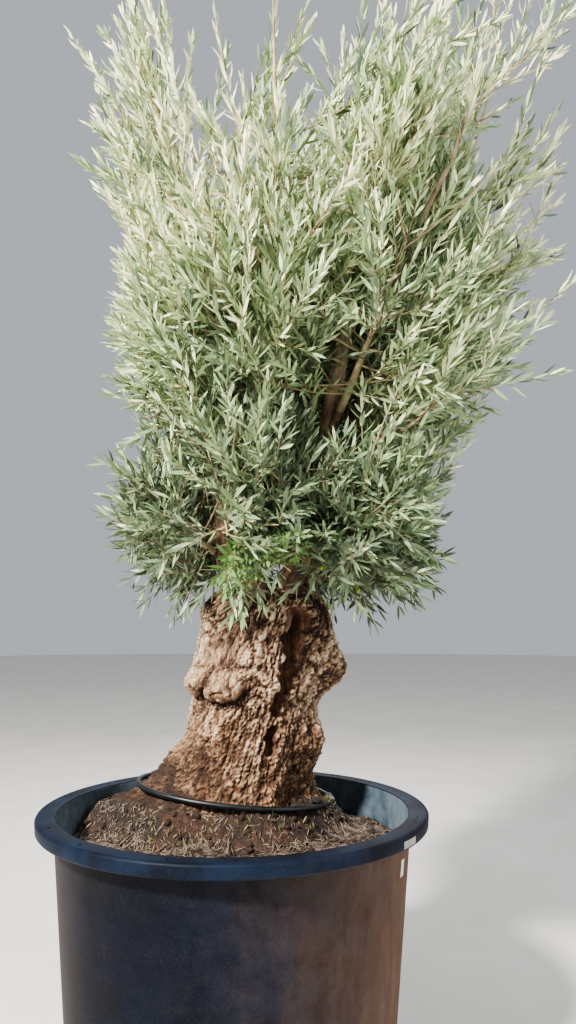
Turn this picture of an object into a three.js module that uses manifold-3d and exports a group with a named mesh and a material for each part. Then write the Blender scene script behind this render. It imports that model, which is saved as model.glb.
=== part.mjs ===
// An old olive tree in a round nursery tub. Millimetres, +Z up, and the front is towards -Y.
// The origin is the middle of the tub's flat underside.
import * as THREE from "three";
import { mergeVertices } from "three/addons/utils/BufferGeometryUtils.js";
import Module from "manifold-3d";

const wasm = await Module();
wasm.setup();

// Driving dimensions
const gap = 0.3; // clear space between pieces that touch
const up = new THREE.Vector3(0, 0, 1);
const goldenTurn = Math.PI * (3 - Math.sqrt(5));

const tub = {
  height: 800,
  rimRadius: 600,
  rimWidth: 62,
  lipDrop: 40,
  lipRound: 10,
  wallTop: 545,
  wallFoot: 475,
  wall: 9,
  floor: 12,
  footRound: 10,
  segments: 40,
};

const soil = { edge: 690, slope: 130, rings: [0, 170, 280, 360, 440] };

// The trunk by height above the floor: its mean radius, how far its middle lies to the right, and its
// depth from front to back as a share of its width.
const trunk = {
  foot: 770,
  middleY: 190,
  levels: [
    { height: 770, radius: 280, right: -32, deep: 0.72 },
    { height: 820, radius: 250, right: -16, deep: 0.76 },
    { height: 890, radius: 220, right: 10, deep: 0.84 },
    { height: 980, radius: 206, right: 44, deep: 0.92 },
    { height: 1090, radius: 198, right: 62, deep: 0.96 },
    { height: 1200, radius: 216, right: 84, deep: 0.96 },
    { height: 1310, radius: 216, right: 98, deep: 0.96 },
    { height: 1410, radius: 198, right: 106, deep: 0.98 },
    { height: 1470, radius: 158, right: 108, deep: 1 },
    { height: 1500, radius: 90, right: 110, deep: 1 },
  ],
  rootFade: 95,
  // Root swellings: direction in degrees from +X, how far they stand out at the ground and how wide they are.
  roots: [
    { turn: 184, swell: 112, spread: 24 },
    { turn: 236, swell: 46, spread: 20 },
    { turn: 292, swell: 52, spread: 20 },
    { turn: 350, swell: 54, spread: 24 },
    { turn: 48, swell: 50, spread: 26 },
    { turn: 118, swell: 56, spread: 26 },
  ],
  // Burls and knobs: direction in degrees, height, how far they stand out, half width and half height.
  knots: [
    { turn: 204, height: 1180, swell: 50, wide: 74, tall: 58 },
    { turn: 238, height: 1160, swell: 46, wide: 70, tall: 50 },
    { turn: 222, height: 1300, swell: 20, wide: 90, tall: 70 },
    { turn: 348, height: 1205, swell: 84, wide: 74, tall: 74 },
    { turn: 330, height: 1360, swell: 30, wide: 70, tall: 110 },
    { turn: 336, height: 985, swell: 34, wide: 70, tall: 66 },
    { turn: 80, height: 1180, swell: 46, wide: 90, tall: 80 },
    { turn: 140, height: 1330, swell: 34, wide: 90, tall: 70 },
  ],
  sides: 30,
  bands: 16,
};

// Hollows in the front of the trunk, each from its low end to its high end as direction and height.
const hollows = [
  { low: [293, 1085], high: [301, 1385], sink: 14, lowRadius: 12, highRadius: 36, steps: 4 },
  { low: [290, 955], high: [290, 1010], sink: 4, lowRadius: 13, highRadius: 13, steps: 1 },
];

// A hoop of drip pipe round the foot of the trunk, higher on the left root than on the soil to the right.
const pipe = {
  radius: 9,
  middle: [0, 208, 803],
  half: [326, 258],
  tilt: 34,
  sides: 5,
  steps: 26,
  joiner: 13,
  joinerLength: 60,
};

// The crown spreads from the fork in six directions, counted in degrees from +X. Each direction has one limb,
// and `spread` is how far out its skirt, side and plume stand, beside the even spread of their tier.
const directions = [
  { name: "left", turn: 187, limb: 50, spread: [0.9, 0.85, 1.25] },
  { name: "front_left", turn: 246, limb: 46, spread: [1.05, 0.95, 0.95] },
  { name: "front_right", turn: 302, limb: 50, spread: [1, 1.05, 1] },
  { name: "right", turn: 352, limb: 60, spread: [0.95, 1.1, 1.42] },
  { name: "back_right", turn: 52, limb: 52, spread: [0.95, 1, 1.05] },
  { name: "back_left", turn: 122, limb: 48, spread: [0.95, 1, 1] },
];

// Tiers of foliage, from the lowest: the height of their hearts, how far out these stand, the half sizes of
// each mass outwards, sideways and up, how steeply its stem rises, its twigs, and where its bough leaves
// the limb, as a share of the limb's length.
const tiers = [
  {
    name: "skirt",
    height: 1725,
    out: 345,
    reach: [315, 330, 385],
    rise: -0.12,
    twigs: 6,
    leaves: 0.1,
    boughRoot: 23,
  },
  {
    name: "side",
    height: 2390,
    out: 420,
    reach: [345, 365, 450],
    rise: 0.55,
    twigs: 6,
    leaves: 0.34,
    boughRoot: 22,
  },
  {
    name: "plume",
    height: 3090,
    out: 435,
    reach: [380, 400, 740],
    rise: 0.86,
    twigs: 7,
  },
];

const crown = {
  foot: [108, 170, 1450],
  lean: [0.11, -0.03], // how far the crown's middle moves to the right and back with height
  limbOut: [[1400, 88], [1570, 150], [1930, 225], [2360, 285]], // how far out a limb stands by height
  limbTip: 17,
  boughTip: 12,
  boughBend: 0.18, // how far a bough bows along its limb, as a share of its length
};

const growth = {
  woodShare: 0.45, // how much of the way to the heart a bough covers
  stemShare: 0.62, // how far past the heart the stem runs, as a share of the half size
  stemBend: 0.4, // how far the stem goes on the bough's way before it bends, as a share of its length
  stemRoot: 11,
  twigRoot: 9,
  twigTip: 5.5,
  twigPlaces: [0.06, 0.92], // first and last twig along the stem
  twigOpening: [104, 34], // degrees between the first and last twig and the stem
  twigLength: [60, 420], // shortest and longest
  twigWander: 0.7, // how far a twig strays from its place round the stem, in radians
  twigLift: 0.15, // how far a twig's tip bends the way the mass leans
  spraysOnTwig: [0.42, 0.72, 1],
  spraysOnStem: [0.62, 0.8, 1],
  sprayOpening: 0.65, // how far a spray on a twig's side stands off it
  tipOpening: 0.1, // the same for a spray at a tip
  sprayLift: 0.3, // how far a spray bends the way the mass leans
  sprayLength: [230, 380], // shortest and longest
  shortestKept: 0.7, // a spray with less room than this share of the shortest is left out
  sprayWidth: 74,
  sprayThickness: 12,
  widest: 0.42, // where a spray is widest, as a share of its length
  clearance: 8, // from limbs
  simplest: 1.5, // the smallest detail that joining leaves
  border: 0.03, // from the next mass, as a share of the half size
};

const colours = {
  tub: { color: 0x23282d, roughness: 0.62, metalness: 0 },
  soil: { color: 0x8a5f42, roughness: 0.95, metalness: 0 },
  bark: { color: 0x9a7a5c, roughness: 0.9, metalness: 0 },
  limb: { color: 0x8f7d66, roughness: 0.85, metalness: 0 },
  leaf: { color: 0x8f9a72, roughness: 0.6, metalness: 0 },
  pipe: { color: 0x14171a, roughness: 0.45, metalness: 0 },
};

// Small helpers
const vec = (p) => new THREE.Vector3(...p);
const radians = THREE.MathUtils.degToRad;

// The same run of numbers from 0 to 1 for the same start.
function seeded(start) {
  let state = start;
  return () => {
    state = (state * 1664525 + 1013904223) % 4294967296;
    return state / 4294967296;
  };
}

// A closed three.js geometry as a solid that can be joined and cut.
function toSolid(geometry) {
  const bare = geometry.clone();
  bare.deleteAttribute("normal");
  bare.deleteAttribute("uv");
  const merged = mergeVertices(bare, 1e-3);
  const triVerts = new Uint32Array(merged.index.array);
  const vertProperties = merged.attributes.position.array;
  return new wasm.Manifold(new wasm.Mesh({ numProp: 3, vertProperties, triVerts }));
}

function toGeometry(solid) {
  const mesh = solid.getMesh();
  const places = new Float32Array(mesh.numVert * 3);
  for (let i = 0; i < mesh.numVert; i++) {
    for (let k = 0; k < 3; k++) places[3 * i + k] = mesh.vertProperties[mesh.numProp * i + k];
  }
  const geometry = new THREE.BufferGeometry();
  geometry.setAttribute("position", new THREE.BufferAttribute(places, 3));
  geometry.setIndex(new THREE.BufferAttribute(new Uint32Array(mesh.triVerts), 1));
  geometry.computeVertexNormals();
  return geometry;
}

// Moves every vertex of a geometry to the place that the function gives for it.
function reshape(geometry, place) {
  const at = geometry.getAttribute("position");
  const point = new THREE.Vector3();
  for (let i = 0; i < at.count; i++) {
    point.copy(place(point.fromBufferAttribute(at, i)));
    at.setXYZ(i, point.x, point.y, point.z);
  }
  return geometry;
}

// The largest body of a solid, without the scraps that a cut has left loose.
function largestBody(solid) {
  return solid.decompose().reduce((a, b) => (b.volume() > a.volume() ? b : a));
}

// A tapering round limb with flat ends: a cylinder bent along its curve.
function limbSolid(curve, root, tip, sides, steps, grow = 0) {
  const frames = curve.computeFrenetFrames(steps, false);
  const cylinder = new THREE.CylinderGeometry(tip + grow, root + grow, 1, sides, steps);
  const bent = reshape(cylinder, (p) => {
    const share = p.y + 0.5;
    const step = Math.round(share * steps);
    const middle = curve.getPointAt(share);
    const { x, z } = p;
    return middle.addScaledVector(frames.normals[step], x).addScaledVector(frames.binormals[step], -z);
  });
  return toSolid(bent);
}

const bentCurve = (points) => new THREE.CatmullRomCurve3(points, false, "catmullrom", 0.5);

// Tub
function tubGeometry() {
  const lipUnder = tub.height - tub.lipDrop;
  const innerTop = tub.rimRadius - tub.rimWidth;
  const profile = [
    [0, 0],
    [tub.wallFoot - tub.footRound, 0],
    [tub.wallFoot, tub.footRound],
    [tub.wallTop, lipUnder],
    [tub.rimRadius - tub.lipRound / 3, lipUnder],
    [tub.rimRadius, tub.height - tub.lipRound],
    [tub.rimRadius - tub.lipRound, tub.height],
    [innerTop + tub.lipRound / 2, tub.height],
    [innerTop, tub.height - tub.lipRound / 2],
    [tub.wallTop - tub.wall, lipUnder],
    [tub.wallFoot - tub.wall, tub.floor],
    [0, tub.floor],
  ].map(([r, z]) => new THREE.Vector2(r, z));
  return new THREE.LatheGeometry(profile, tub.segments).rotateX(Math.PI / 2);
}

const innerRadiusAt = (height) => {
  const share = (height - tub.floor) / (tub.height - tub.lipDrop - tub.floor);
  const foot = tub.wallFoot - tub.wall;
  return foot + (tub.wallTop - tub.wallFoot) * share;
};

// A value between the trunk's levels, on a smooth curve through them.
function trunkLevel(key, height) {
  const rows = trunk.levels;
  let i = 0;
  while (i < rows.length - 2 && height > rows[i + 1].height) i++;
  const t = (height - rows[i].height) / (rows[i + 1].height - rows[i].height);
  const before = rows[Math.max(i - 1, 0)][key];
  const after = rows[Math.min(i + 2, rows.length - 1)][key];
  const [a, b] = [rows[i][key], rows[i + 1][key]];
  const slopeA = (b - before) / 2;
  const slopeB = (after - a) / 2;
  const t2 = t * t;
  const t3 = t2 * t;
  return (2 * t3 - 3 * t2 + 1) * a + (t3 - 2 * t2 + t) * slopeA + (3 * t2 - 2 * t3) * b + (t3 - t2) * slopeB;
}

const turnBetween = (a, b) => Math.atan2(Math.sin(a - b), Math.cos(a - b));

// How far the trunk's surface lies from its middle line, in one direction at one height.
function trunkRadius(turn, height) {
  const mean = trunkLevel("radius", height);
  const fade = Math.exp(-(height - trunk.foot) / trunk.rootFade);
  let radius = mean;
  for (const root of trunk.roots) {
    const off = turnBetween(turn, radians(root.turn)) / radians(root.spread);
    radius += root.swell * fade * Math.exp(-off * off);
  }
  for (const knot of trunk.knots) {
    const across = (turnBetween(turn, radians(knot.turn)) * mean) / knot.wide;
    const along = (height - knot.height) / knot.tall;
    radius += knot.swell * Math.exp(-across * across - along * along);
  }
  return radius;
}

function trunkPoint(turn, height, radius = trunkRadius(turn, height)) {
  const across = radius * Math.cos(turn);
  const deep = radius * Math.sin(turn) * trunkLevel("deep", height);
  return new THREE.Vector3(trunkLevel("right", height) + across, trunk.middleY + deep, height);
}

// How far a point lies outside the trunk's surface at its own height, or inside it where negative.
function outsideTrunk(x, y, height) {
  const across = x - trunkLevel("right", height);
  const deep = (y - trunk.middleY) / trunkLevel("deep", height);
  return Math.hypot(across, deep) - trunkRadius(Math.atan2(deep, across), height);
}

const trunkTop = trunk.levels[trunk.levels.length - 1].height;

function trunkBody(grow = 0) {
  const cylinder = new THREE.CylinderGeometry(1, 1, 1, trunk.sides, trunk.bands);
  const formed = reshape(cylinder, (p) => {
    const height = trunk.foot + (p.y + 0.5) * (trunkTop - trunk.foot);
    const turn = Math.atan2(-p.z, p.x);
    const onAxis = Math.hypot(p.x, p.z) < 0.5;
    const point = trunkPoint(turn, height, onAxis ? 0 : trunkRadius(turn, height) + grow);
    if (Math.abs(p.y) > 0.49) point.z += grow * Math.sign(p.y);
    return point;
  });
  return toSolid(formed);
}

// A tapering tool that follows the bark from the low to the high end of a hollow.
function hollowTool({ low, high, sink, lowRadius, highRadius, steps }) {
  const points = Array.from({ length: steps + 1 }, (_, i) => {
    const turn = radians(THREE.MathUtils.lerp(low[0], high[0], i / steps));
    const height = THREE.MathUtils.lerp(low[1], high[1], i / steps);
    return trunkPoint(turn, height, trunkRadius(turn, height) - sink);
  });
  return limbSolid(bentCurve(points), lowRadius, highRadius, 7, steps);
}

// Drip pipe
function pipeSolid(grow = 0) {
  const ring = new THREE.TorusGeometry(1, 0.5, pipe.sides, pipe.steps);
  const hoop = toSolid(reshape(ring, (p) => {
    const turn = Math.atan2(p.y, p.x);
    const size = (pipe.radius + grow) / 0.5;
    const out = (Math.hypot(p.x, p.y) - 1) * size;
    const x = pipe.middle[0] + (pipe.half[0] + out) * Math.cos(turn);
    const y = pipe.middle[1] + (pipe.half[1] + out) * Math.sin(turn);
    return new THREE.Vector3(x, y, pipe.middle[2] - pipe.tilt * Math.cos(turn) + p.z * size);
  }));
  const joiner = new THREE.CylinderGeometry(pipe.joiner + grow, pipe.joiner + grow, pipe.joinerLength, 8);
  joiner.translate(pipe.middle[0] + pipe.half[0], pipe.middle[1], pipe.middle[2] - pipe.tilt);
  return hoop.add(toSolid(joiner));
}

// Soil: a mound that rises from the tub's wall to the flat ground under the trunk.
function soilHeight(x, y) {
  const share = THREE.MathUtils.smoothstep(soil.slope - outsideTrunk(x, y, trunk.foot), 0, soil.slope);
  return soil.edge + (trunk.foot - gap - soil.edge) * share;
}

function soilGeometry() {
  const bottom = tub.floor + gap;
  const outer = (z) => innerRadiusAt(z) - 3 * gap;
  const profile = [
    [0, bottom],
    [outer(bottom), bottom],
    [outer(soil.edge), soil.edge],
    ...soil.rings.toReversed().map((r) => [r, soil.edge]),
  ].map(([r, z]) => new THREE.Vector2(r, z));
  const turned = new THREE.LatheGeometry(profile, tub.segments).rotateX(Math.PI / 2);
  return reshape(turned, (p) => {
    if (p.z > soil.edge - 1 && Math.hypot(p.x, p.y) < outer(soil.edge) - 1) p.z = soilHeight(p.x, p.y);
    return p;
  });
}

// Crown
const away = (turn, size = 1) => new THREE.Vector3(size, 0, 0).applyAxisAngle(up, radians(turn));

// A point of the crown: how far out it stands in one direction at one height.
function crownPoint(turn, out, height) {
  const rise = height - crown.foot[2];
  const middle = vec(crown.foot).add(new THREE.Vector3(crown.lean[0] * rise, crown.lean[1] * rise, rise));
  return middle.add(away(turn, out));
}

const masses = tiers.flatMap((tier, row) =>
  directions.map((direction) => ({
    name: `${tier.name}_${direction.name}`,
    tier,
    direction,
    heart: crownPoint(direction.turn, tier.out * direction.spread[row], tier.height),
  })),
);

// A vector in a mass's own measure: 1 at the edge of the space that the mass fills.
function measured(mass, v) {
  const outward = away(mass.direction.turn);
  const [out, side, tall] = mass.tier.reach;
  return Math.hypot(v.dot(outward) / out, (v.x * outward.y - v.y * outward.x) / side, v.z / tall);
}

// Where the bough or limb from a place ends, on the way to the heart.
const woodEnd = (mass, from) => from.clone().lerp(mass.heart, growth.woodShare);

const massNamed = (name) => masses.find((m) => m.name === name);
const wood = new Map();

for (const direction of directions) {
  const way = crown.limbOut.map(([height, out]) => crownPoint(direction.turn, out, height));
  const plume = massNamed(`plume_${direction.name}`);
  const limbCurve = bentCurve([...way, woodEnd(plume, way.at(-1))]);
  const limb = { curve: limbCurve, root: direction.limb, tip: crown.limbTip, sides: 7, steps: 8 };
  wood.set(`limb_${direction.name}`, limb);
  plume.carrier = limb;
  for (const tier of tiers.filter((t) => t.boughRoot)) {
    const mass = massNamed(`${tier.name}_${direction.name}`);
    const start = limbCurve.getPointAt(tier.leaves);
    const end = woodEnd(mass, start);
    const along = limbCurve.getTangentAt(tier.leaves);
    const bend = start.clone().lerp(end, 0.5).addScaledVector(along, start.distanceTo(end) * crown.boughBend);
    const curve = bentCurve([start, bend, end]);
    mass.carrier = { curve, root: tier.boughRoot, tip: crown.boughTip, sides: 6, steps: 4, parent: limb };
    wood.set(`bough_${mass.name}`, mass.carrier);
  }
}

const woodSolid = (w, grow = 0) => limbSolid(w.curve, w.root, w.tip, w.sides, w.steps, grow);
const trunkGrown = trunkBody(gap);
const grown = new Map([...wood.values()].map((w) => [w, woodSolid(w, gap)]));

// A limb or bough cut off where it leaves the trunk and its parent.
function woodPiece(w) {
  const whole = woodSolid(w).subtract(trunkGrown);
  return largestBody(w.parent ? whole.subtract(grown.get(w.parent)) : whole);
}

// Foliage: a mass keeps to its own round, as far as it is nearer to its own heart than to another one.
function insideSpace(mass, point) {
  const own = measured(mass, point.clone().sub(mass.heart));
  if (own > 1) return false;
  return masses.every((m) => m === mass || measured(m, point.clone().sub(m.heart)) > own + growth.border);
}

const woodSamples = [...wood.values()].flatMap((w) =>
  Array.from({ length: 25 }, (_, i) => ({
    middle: w.curve.getPointAt(i / 24),
    radius: THREE.MathUtils.lerp(w.root, w.tip, i / 24),
  })),
);

function clearOfWood(point) {
  const byTrunk = point.z < trunkTop + 3 * growth.clearance;
  const height = Math.min(point.z, trunkTop);
  if (byTrunk && outsideTrunk(point.x, point.y, height) < 3 * growth.clearance) return false;
  return woodSamples.every((s) => s.middle.distanceTo(point) > s.radius + growth.clearance);
}

// The longest length, up to the wanted one, along which a straight shoot stays in its space.
function roomAlong(mass, from, way, wanted) {
  const step = 15;
  const ahead = (length) => from.clone().addScaledVector(way, length);
  let length = 0;
  while (length < wanted && insideSpace(mass, ahead(length + step))) length += step;
  return Math.min(length, wanted);
}

// A direction square to an axis, turned round it.
function sideways(axis, turn) {
  const flat = Math.abs(axis.z) > 0.9 ? new THREE.Vector3(1, 0, 0) : up;
  return new THREE.Vector3().crossVectors(flat, axis).normalize().applyAxisAngle(axis, turn);
}

const blend = (a, b, share) => a.clone().addScaledVector(b, share).normalize();

// The stem of one mass, its twigs and where its sprays start.
function growMass(mass, index) {
  const random = seeded(1000 + 77 * index);
  const start = mass.carrier.curve.getPointAt(1);
  const startWay = mass.carrier.curve.getTangentAt(1);
  const { rise } = mass.tier;
  const lean = blend(away(mass.direction.turn, 1 - Math.abs(rise)), up, rise);
  const end = mass.heart.clone().addScaledVector(lean, growth.stemShare / measured(mass, lean));
  const bend = start.clone().addScaledVector(startWay, start.distanceTo(end) * growth.stemBend);
  const stem = new THREE.QuadraticBezierCurve3(start.clone().addScaledVector(startWay, gap), bend, end);
  const twigs = [];
  const sprays = [];
  const addSpray = (from, way) => {
    const wanted = THREE.MathUtils.lerp(...growth.sprayLength, random());
    const length = roomAlong(mass, from, way, wanted);
    if (length >= growth.sprayLength[0] * growth.shortestKept) sprays.push({ from, way, length });
  };
  for (let i = 0; i < mass.tier.twigs; i++) {
    const share = THREE.MathUtils.lerp(...growth.twigPlaces, i / (mass.tier.twigs - 1));
    const from = stem.getPoint(share);
    const axis = stem.getTangent(share).normalize();
    const opening = radians(THREE.MathUtils.lerp(...growth.twigOpening, share));
    const side = sideways(axis, i * goldenTurn + random() * growth.twigWander);
    const way = axis.clone().multiplyScalar(Math.cos(opening)).addScaledVector(side, Math.sin(opening));
    const [shortest, longest] = growth.twigLength;
    const room = roomAlong(mass, from, way, longest + growth.sprayLength[1]);
    const length = THREE.MathUtils.clamp(room - growth.sprayLength[0] * 0.8, shortest, longest);
    const knee = from.clone().addScaledVector(way, length / 2);
    const tip = from.clone().addScaledVector(blend(way, lean, growth.twigLift), length);
    const twig = new THREE.QuadraticBezierCurve3(from, knee, tip);
    twigs.push(twig);
    growth.spraysOnTwig.forEach((at, k) => {
      const ahead = twig.getTangent(at).normalize();
      const around = sideways(ahead, (i + k) * goldenTurn * 2 + random());
      const opened = blend(ahead, around, at === 1 ? growth.tipOpening : growth.sprayOpening);
      addSpray(twig.getPoint(at), blend(opened, lean, growth.sprayLift));
    });
  }
  growth.spraysOnStem.forEach((at, k) => {
    const ahead = stem.getTangent(at).normalize();
    const around = sideways(ahead, k * goldenTurn + random());
    addSpray(stem.getPoint(at), blend(ahead, around, at === 1 ? growth.tipOpening : growth.sprayOpening));
  });
  return { stem, twigs, sprays: sprays.map((s) => ({ ...s, side: sideways(s.way, random() * Math.PI) })) };
}

// A spray as one long leaf of six faces with a keel, its root sunk in the twig.
function spraySolid({ from, way, side, length }) {
  const face = new THREE.Vector3().crossVectors(way, side);
  const root = from.clone().addScaledVector(way, -growth.twigTip);
  return toSolid(reshape(new THREE.SphereGeometry(1, 3, 2), (p) => {
    const along = p.y < -0.5 ? 0 : p.y > 0.5 ? 1 : growth.widest;
    return root.clone()
      .addScaledVector(way, along * (length + growth.twigTip))
      .addScaledVector(side, (p.z * growth.sprayWidth) / Math.sqrt(3))
      .addScaledVector(face, (p.x * growth.sprayThickness) / 1.5);
  }));
}

function sprayFits(mass, { from, way, side, length }) {
  const widest = from.clone().addScaledVector(way, length * growth.widest);
  const half = growth.sprayWidth / 2;
  const middles = [0.25, 0.45, 0.7, 1].map((s) => from.clone().addScaledVector(way, length * s));
  const edges = [-half, half].map((h) => widest.clone().addScaledVector(side, h));
  return [...middles, ...edges].every((p) => clearOfWood(p) && insideSpace(mass, p));
}

function massSolid(mass, index) {
  const { stem, twigs, sprays } = growMass(mass, index);
  const joined = wasm.Manifold.union([
    limbSolid(stem, growth.stemRoot, growth.twigTip, 5, 4),
    ...twigs.map((t) => limbSolid(t, growth.twigRoot, growth.twigTip, 3, 2)),
    ...sprays.filter((s) => sprayFits(mass, s)).map(spraySolid),
  ]);
  const cut = [trunkGrown, ...grown.values()].reduce((solid, w) => solid.subtract(w), joined);
  return largestBody(cut.simplify(growth.simplest));
}

// Assembly
const tree = new THREE.Group();

function addPiece(name, geometry, look) {
  const piece = new THREE.Mesh(geometry, new THREE.MeshStandardMaterial(look));
  piece.name = name;
  tree.add(piece);
}

const pipeGrown = pipeSolid(gap);
const trunkSolid = hollows.reduce((solid, hollow) => solid.subtract(hollowTool(hollow)), trunkBody());

addPiece("tub", tubGeometry(), colours.tub);
addPiece("soil", toGeometry(toSolid(soilGeometry()).subtract(pipeGrown)), colours.soil);
addPiece("trunk", toGeometry(largestBody(trunkSolid.subtract(pipeGrown))), colours.bark);
addPiece("drip_pipe", toGeometry(pipeSolid()), colours.pipe);
for (const [name, w] of wood) addPiece(name, toGeometry(woodPiece(w)), colours.limb);
masses.forEach((mass, index) => addPiece(mass.name, toGeometry(massSolid(mass, index)), colours.leaf));

export default tree;
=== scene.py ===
import math

import bmesh
import bpy
import numpy as np
from mathutils import Euler, Matrix, Vector, noise


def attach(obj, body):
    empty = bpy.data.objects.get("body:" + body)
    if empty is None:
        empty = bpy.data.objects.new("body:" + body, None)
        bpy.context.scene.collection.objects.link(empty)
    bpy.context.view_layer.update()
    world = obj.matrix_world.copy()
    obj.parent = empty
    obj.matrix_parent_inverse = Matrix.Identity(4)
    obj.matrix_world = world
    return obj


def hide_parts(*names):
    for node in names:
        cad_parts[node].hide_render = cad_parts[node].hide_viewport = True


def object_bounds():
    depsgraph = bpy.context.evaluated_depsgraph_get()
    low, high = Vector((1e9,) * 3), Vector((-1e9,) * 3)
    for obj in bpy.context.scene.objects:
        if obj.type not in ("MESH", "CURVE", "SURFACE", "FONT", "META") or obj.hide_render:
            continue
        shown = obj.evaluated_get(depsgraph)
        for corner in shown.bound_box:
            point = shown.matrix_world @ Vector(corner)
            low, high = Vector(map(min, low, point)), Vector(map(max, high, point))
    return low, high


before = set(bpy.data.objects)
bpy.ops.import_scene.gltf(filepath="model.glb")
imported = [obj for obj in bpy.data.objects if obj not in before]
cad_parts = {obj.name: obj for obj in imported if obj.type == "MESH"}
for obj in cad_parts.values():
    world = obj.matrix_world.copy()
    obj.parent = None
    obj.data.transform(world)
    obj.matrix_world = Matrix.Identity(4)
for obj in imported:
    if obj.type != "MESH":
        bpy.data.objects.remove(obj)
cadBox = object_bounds()
up = np.array([0.0, 0.0, 1.0])
goldenTurn = math.pi * (3 - math.sqrt(5))


def smooth(t):
    t = np.clip(t, 0.0, 1.0)
    return t * t * (3 - 2 * t)


def unit(v):
    v = np.asarray(v, float)
    return v / np.maximum(np.linalg.norm(v, axis=-1, keepdims=True), 1e-12)


def mix(a, b, t):
    return a + (b - a) * t


# Arrays or numbers side by side, as the columns of one array.
def columns(*values):
    return np.stack(np.broadcast_arrays(*values), axis=1)


# A bell round a middle, 1 high.
def peak(value, middle, width):
    return np.exp(-((value - middle) / width) ** 2)


# Noise at each place, after its axes are scaled and shifted.
def noiseAt(places, scale, shift=0):
    return np.array([noise.noise(place) for place in (places * scale + shift).tolist()])


# The shader's colour for a colour given as six hex digits.
def linear(hexColour):
    parts = [int(hexColour[i:i + 2], 16) / 255 for i in (0, 2, 4)]
    return [c / 12.92 if c <= 0.04045 else ((c + 0.055) / 1.055) ** 2.4 for c in parts] + [1.0]


# The source's own run of numbers from 0 to 1.
def seeded(start):
    state = [start]

    def following():
        state[0] = (state[0] * 1664525 + 1013904223) % 4294967296
        return state[0] / 4294967296

    return following


# Vectors turned about unit axes.
def turnAround(v, axis, turn):
    turn = np.asarray(turn)[..., None]
    kept = np.sum(axis * v, axis=-1, keepdims=True) * axis
    return v * np.cos(turn) + np.cross(axis, v) * np.sin(turn) + kept * (1 - np.cos(turn))


# A direction square to an axis, turned round it.
def sideways(axis, turn):
    axis = np.asarray(axis, float)
    steep = np.abs(axis[..., 2:3]) > 0.9
    flat = np.where(steep, np.array([1.0, 0, 0]), up)
    return turnAround(unit(np.cross(flat, axis)), axis, turn)


def linked(name, data, materials=()):
    for material in materials:
        data.materials.append(material)
    made = bpy.data.objects.new(name, data)
    bpy.context.scene.collection.objects.link(made)
    return made


# An object from points, faces as one run of point numbers, and the size of each face or one for all.
def meshPiece(name, points, faces, sizes, materials, slots=None):
    points, faces = np.asarray(points, np.float32), np.asarray(faces, np.int32)
    sizes = np.full(len(faces) // sizes, sizes) if isinstance(sizes, int) else sizes
    starts = np.concatenate([[0], np.cumsum(sizes)[:-1]]).astype(np.int32)
    mesh = bpy.data.meshes.new(name)
    for kind, key, values in (("vertices", "co", points), ("loops", "vertex_index", faces),
                              ("polygons", "loop_start", starts)):
        getattr(mesh, kind).add(len(values))
        getattr(mesh, kind).foreach_set(key, values.reshape(-1))
    if slots is not None:
        mesh.polygons.foreach_set("material_index", np.asarray(slots, np.int32))
    mesh.polygons.foreach_set("use_smooth", np.full(len(starts), True))
    mesh.update(calc_edges=True)
    return linked(name, mesh, materials)


def bmeshPiece(name, bm, material, soft=True):
    bmesh.ops.recalc_face_normals(bm, faces=bm.faces)
    for face in bm.faces:
        face.smooth = soft
    mesh = bpy.data.meshes.new(name)
    bm.to_mesh(mesh)
    bm.free()
    return linked(name, mesh, [material])


# Everything in a bmesh turned fully round the upright axis.
def spin(bm, steps):
    bmesh.ops.spin(bm, geom=bm.verts[:] + bm.edges[:], cent=(0, 0, 0), axis=(0, 0, 1), angle=math.tau,
                   steps=steps, use_merge=True)
    return bm


# A line of (radius, height) points turned fully round, its poles closed.
def spun(line, steps):
    bm = bmesh.new()
    row = [bm.verts.new((radius, 0, height)) for radius, height in line]
    for pair in zip(row, row[1:]):
        bm.edges.new(pair)
    spin(bm, steps)
    bmesh.ops.remove_doubles(bm, verts=bm.verts, dist=1e-5)
    return bm


def placesOf(piece):
    spots = np.empty(len(piece.data.vertices) * 3, np.float32)
    piece.data.vertices.foreach_get("co", spots)
    return spots.reshape(-1, 3).astype(float)


def movePoints(piece, points):
    piece.data.vertices.foreach_set("co", np.asarray(points, np.float32).reshape(-1))
    piece.data.update()


# A value for each point, which the material reads.
def keep(piece, name, values):
    kept = piece.data.attributes.new(name, "FLOAT", "POINT")
    kept.data.foreach_set("value", np.asarray(values, np.float32))


# The piece rides with the tree and stands for these nodes.
def dress(piece, slotName, *nodes):
    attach(piece, "root")
    if nodes:
        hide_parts(*nodes)


# Many closed tubes at once, from paths (n, steps, 3) and radii (steps): points, faces and face sizes.
def tubes(paths, radii, sides):
    ahead = unit(np.gradient(paths, axis=1))
    ring = sideways(ahead[:, :, None], np.arange(sides) * math.tau / sides)
    points = paths[:, :, None] + ring * radii[:, None, None]
    ids = np.arange(points.size // 3).reshape(points.shape[:3])
    near, far = ids[:, :-1], ids[:, 1:]
    quads = np.stack([near, np.roll(near, -1, 2), np.roll(far, -1, 2), far], axis=-1)
    caps = np.concatenate([ids[:, 0, ::-1], ids[:, -1]])
    faces = np.concatenate([quads.reshape(-1), caps.reshape(-1)])
    sizes = np.concatenate([np.full(quads.size // 4, 4), np.full(len(caps), sides)])
    return points.reshape(-1, 3), faces, sizes


# Several results of tubes as one.
def joined(parts):
    points, faces, sizes = zip(*parts)
    shifts = np.cumsum([0] + [len(some) for some in points[:-1]])
    faces = [some + shift for some, shift in zip(faces, shifts)]
    return [np.concatenate(rows) for rows in (points, faces, sizes)]


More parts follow.
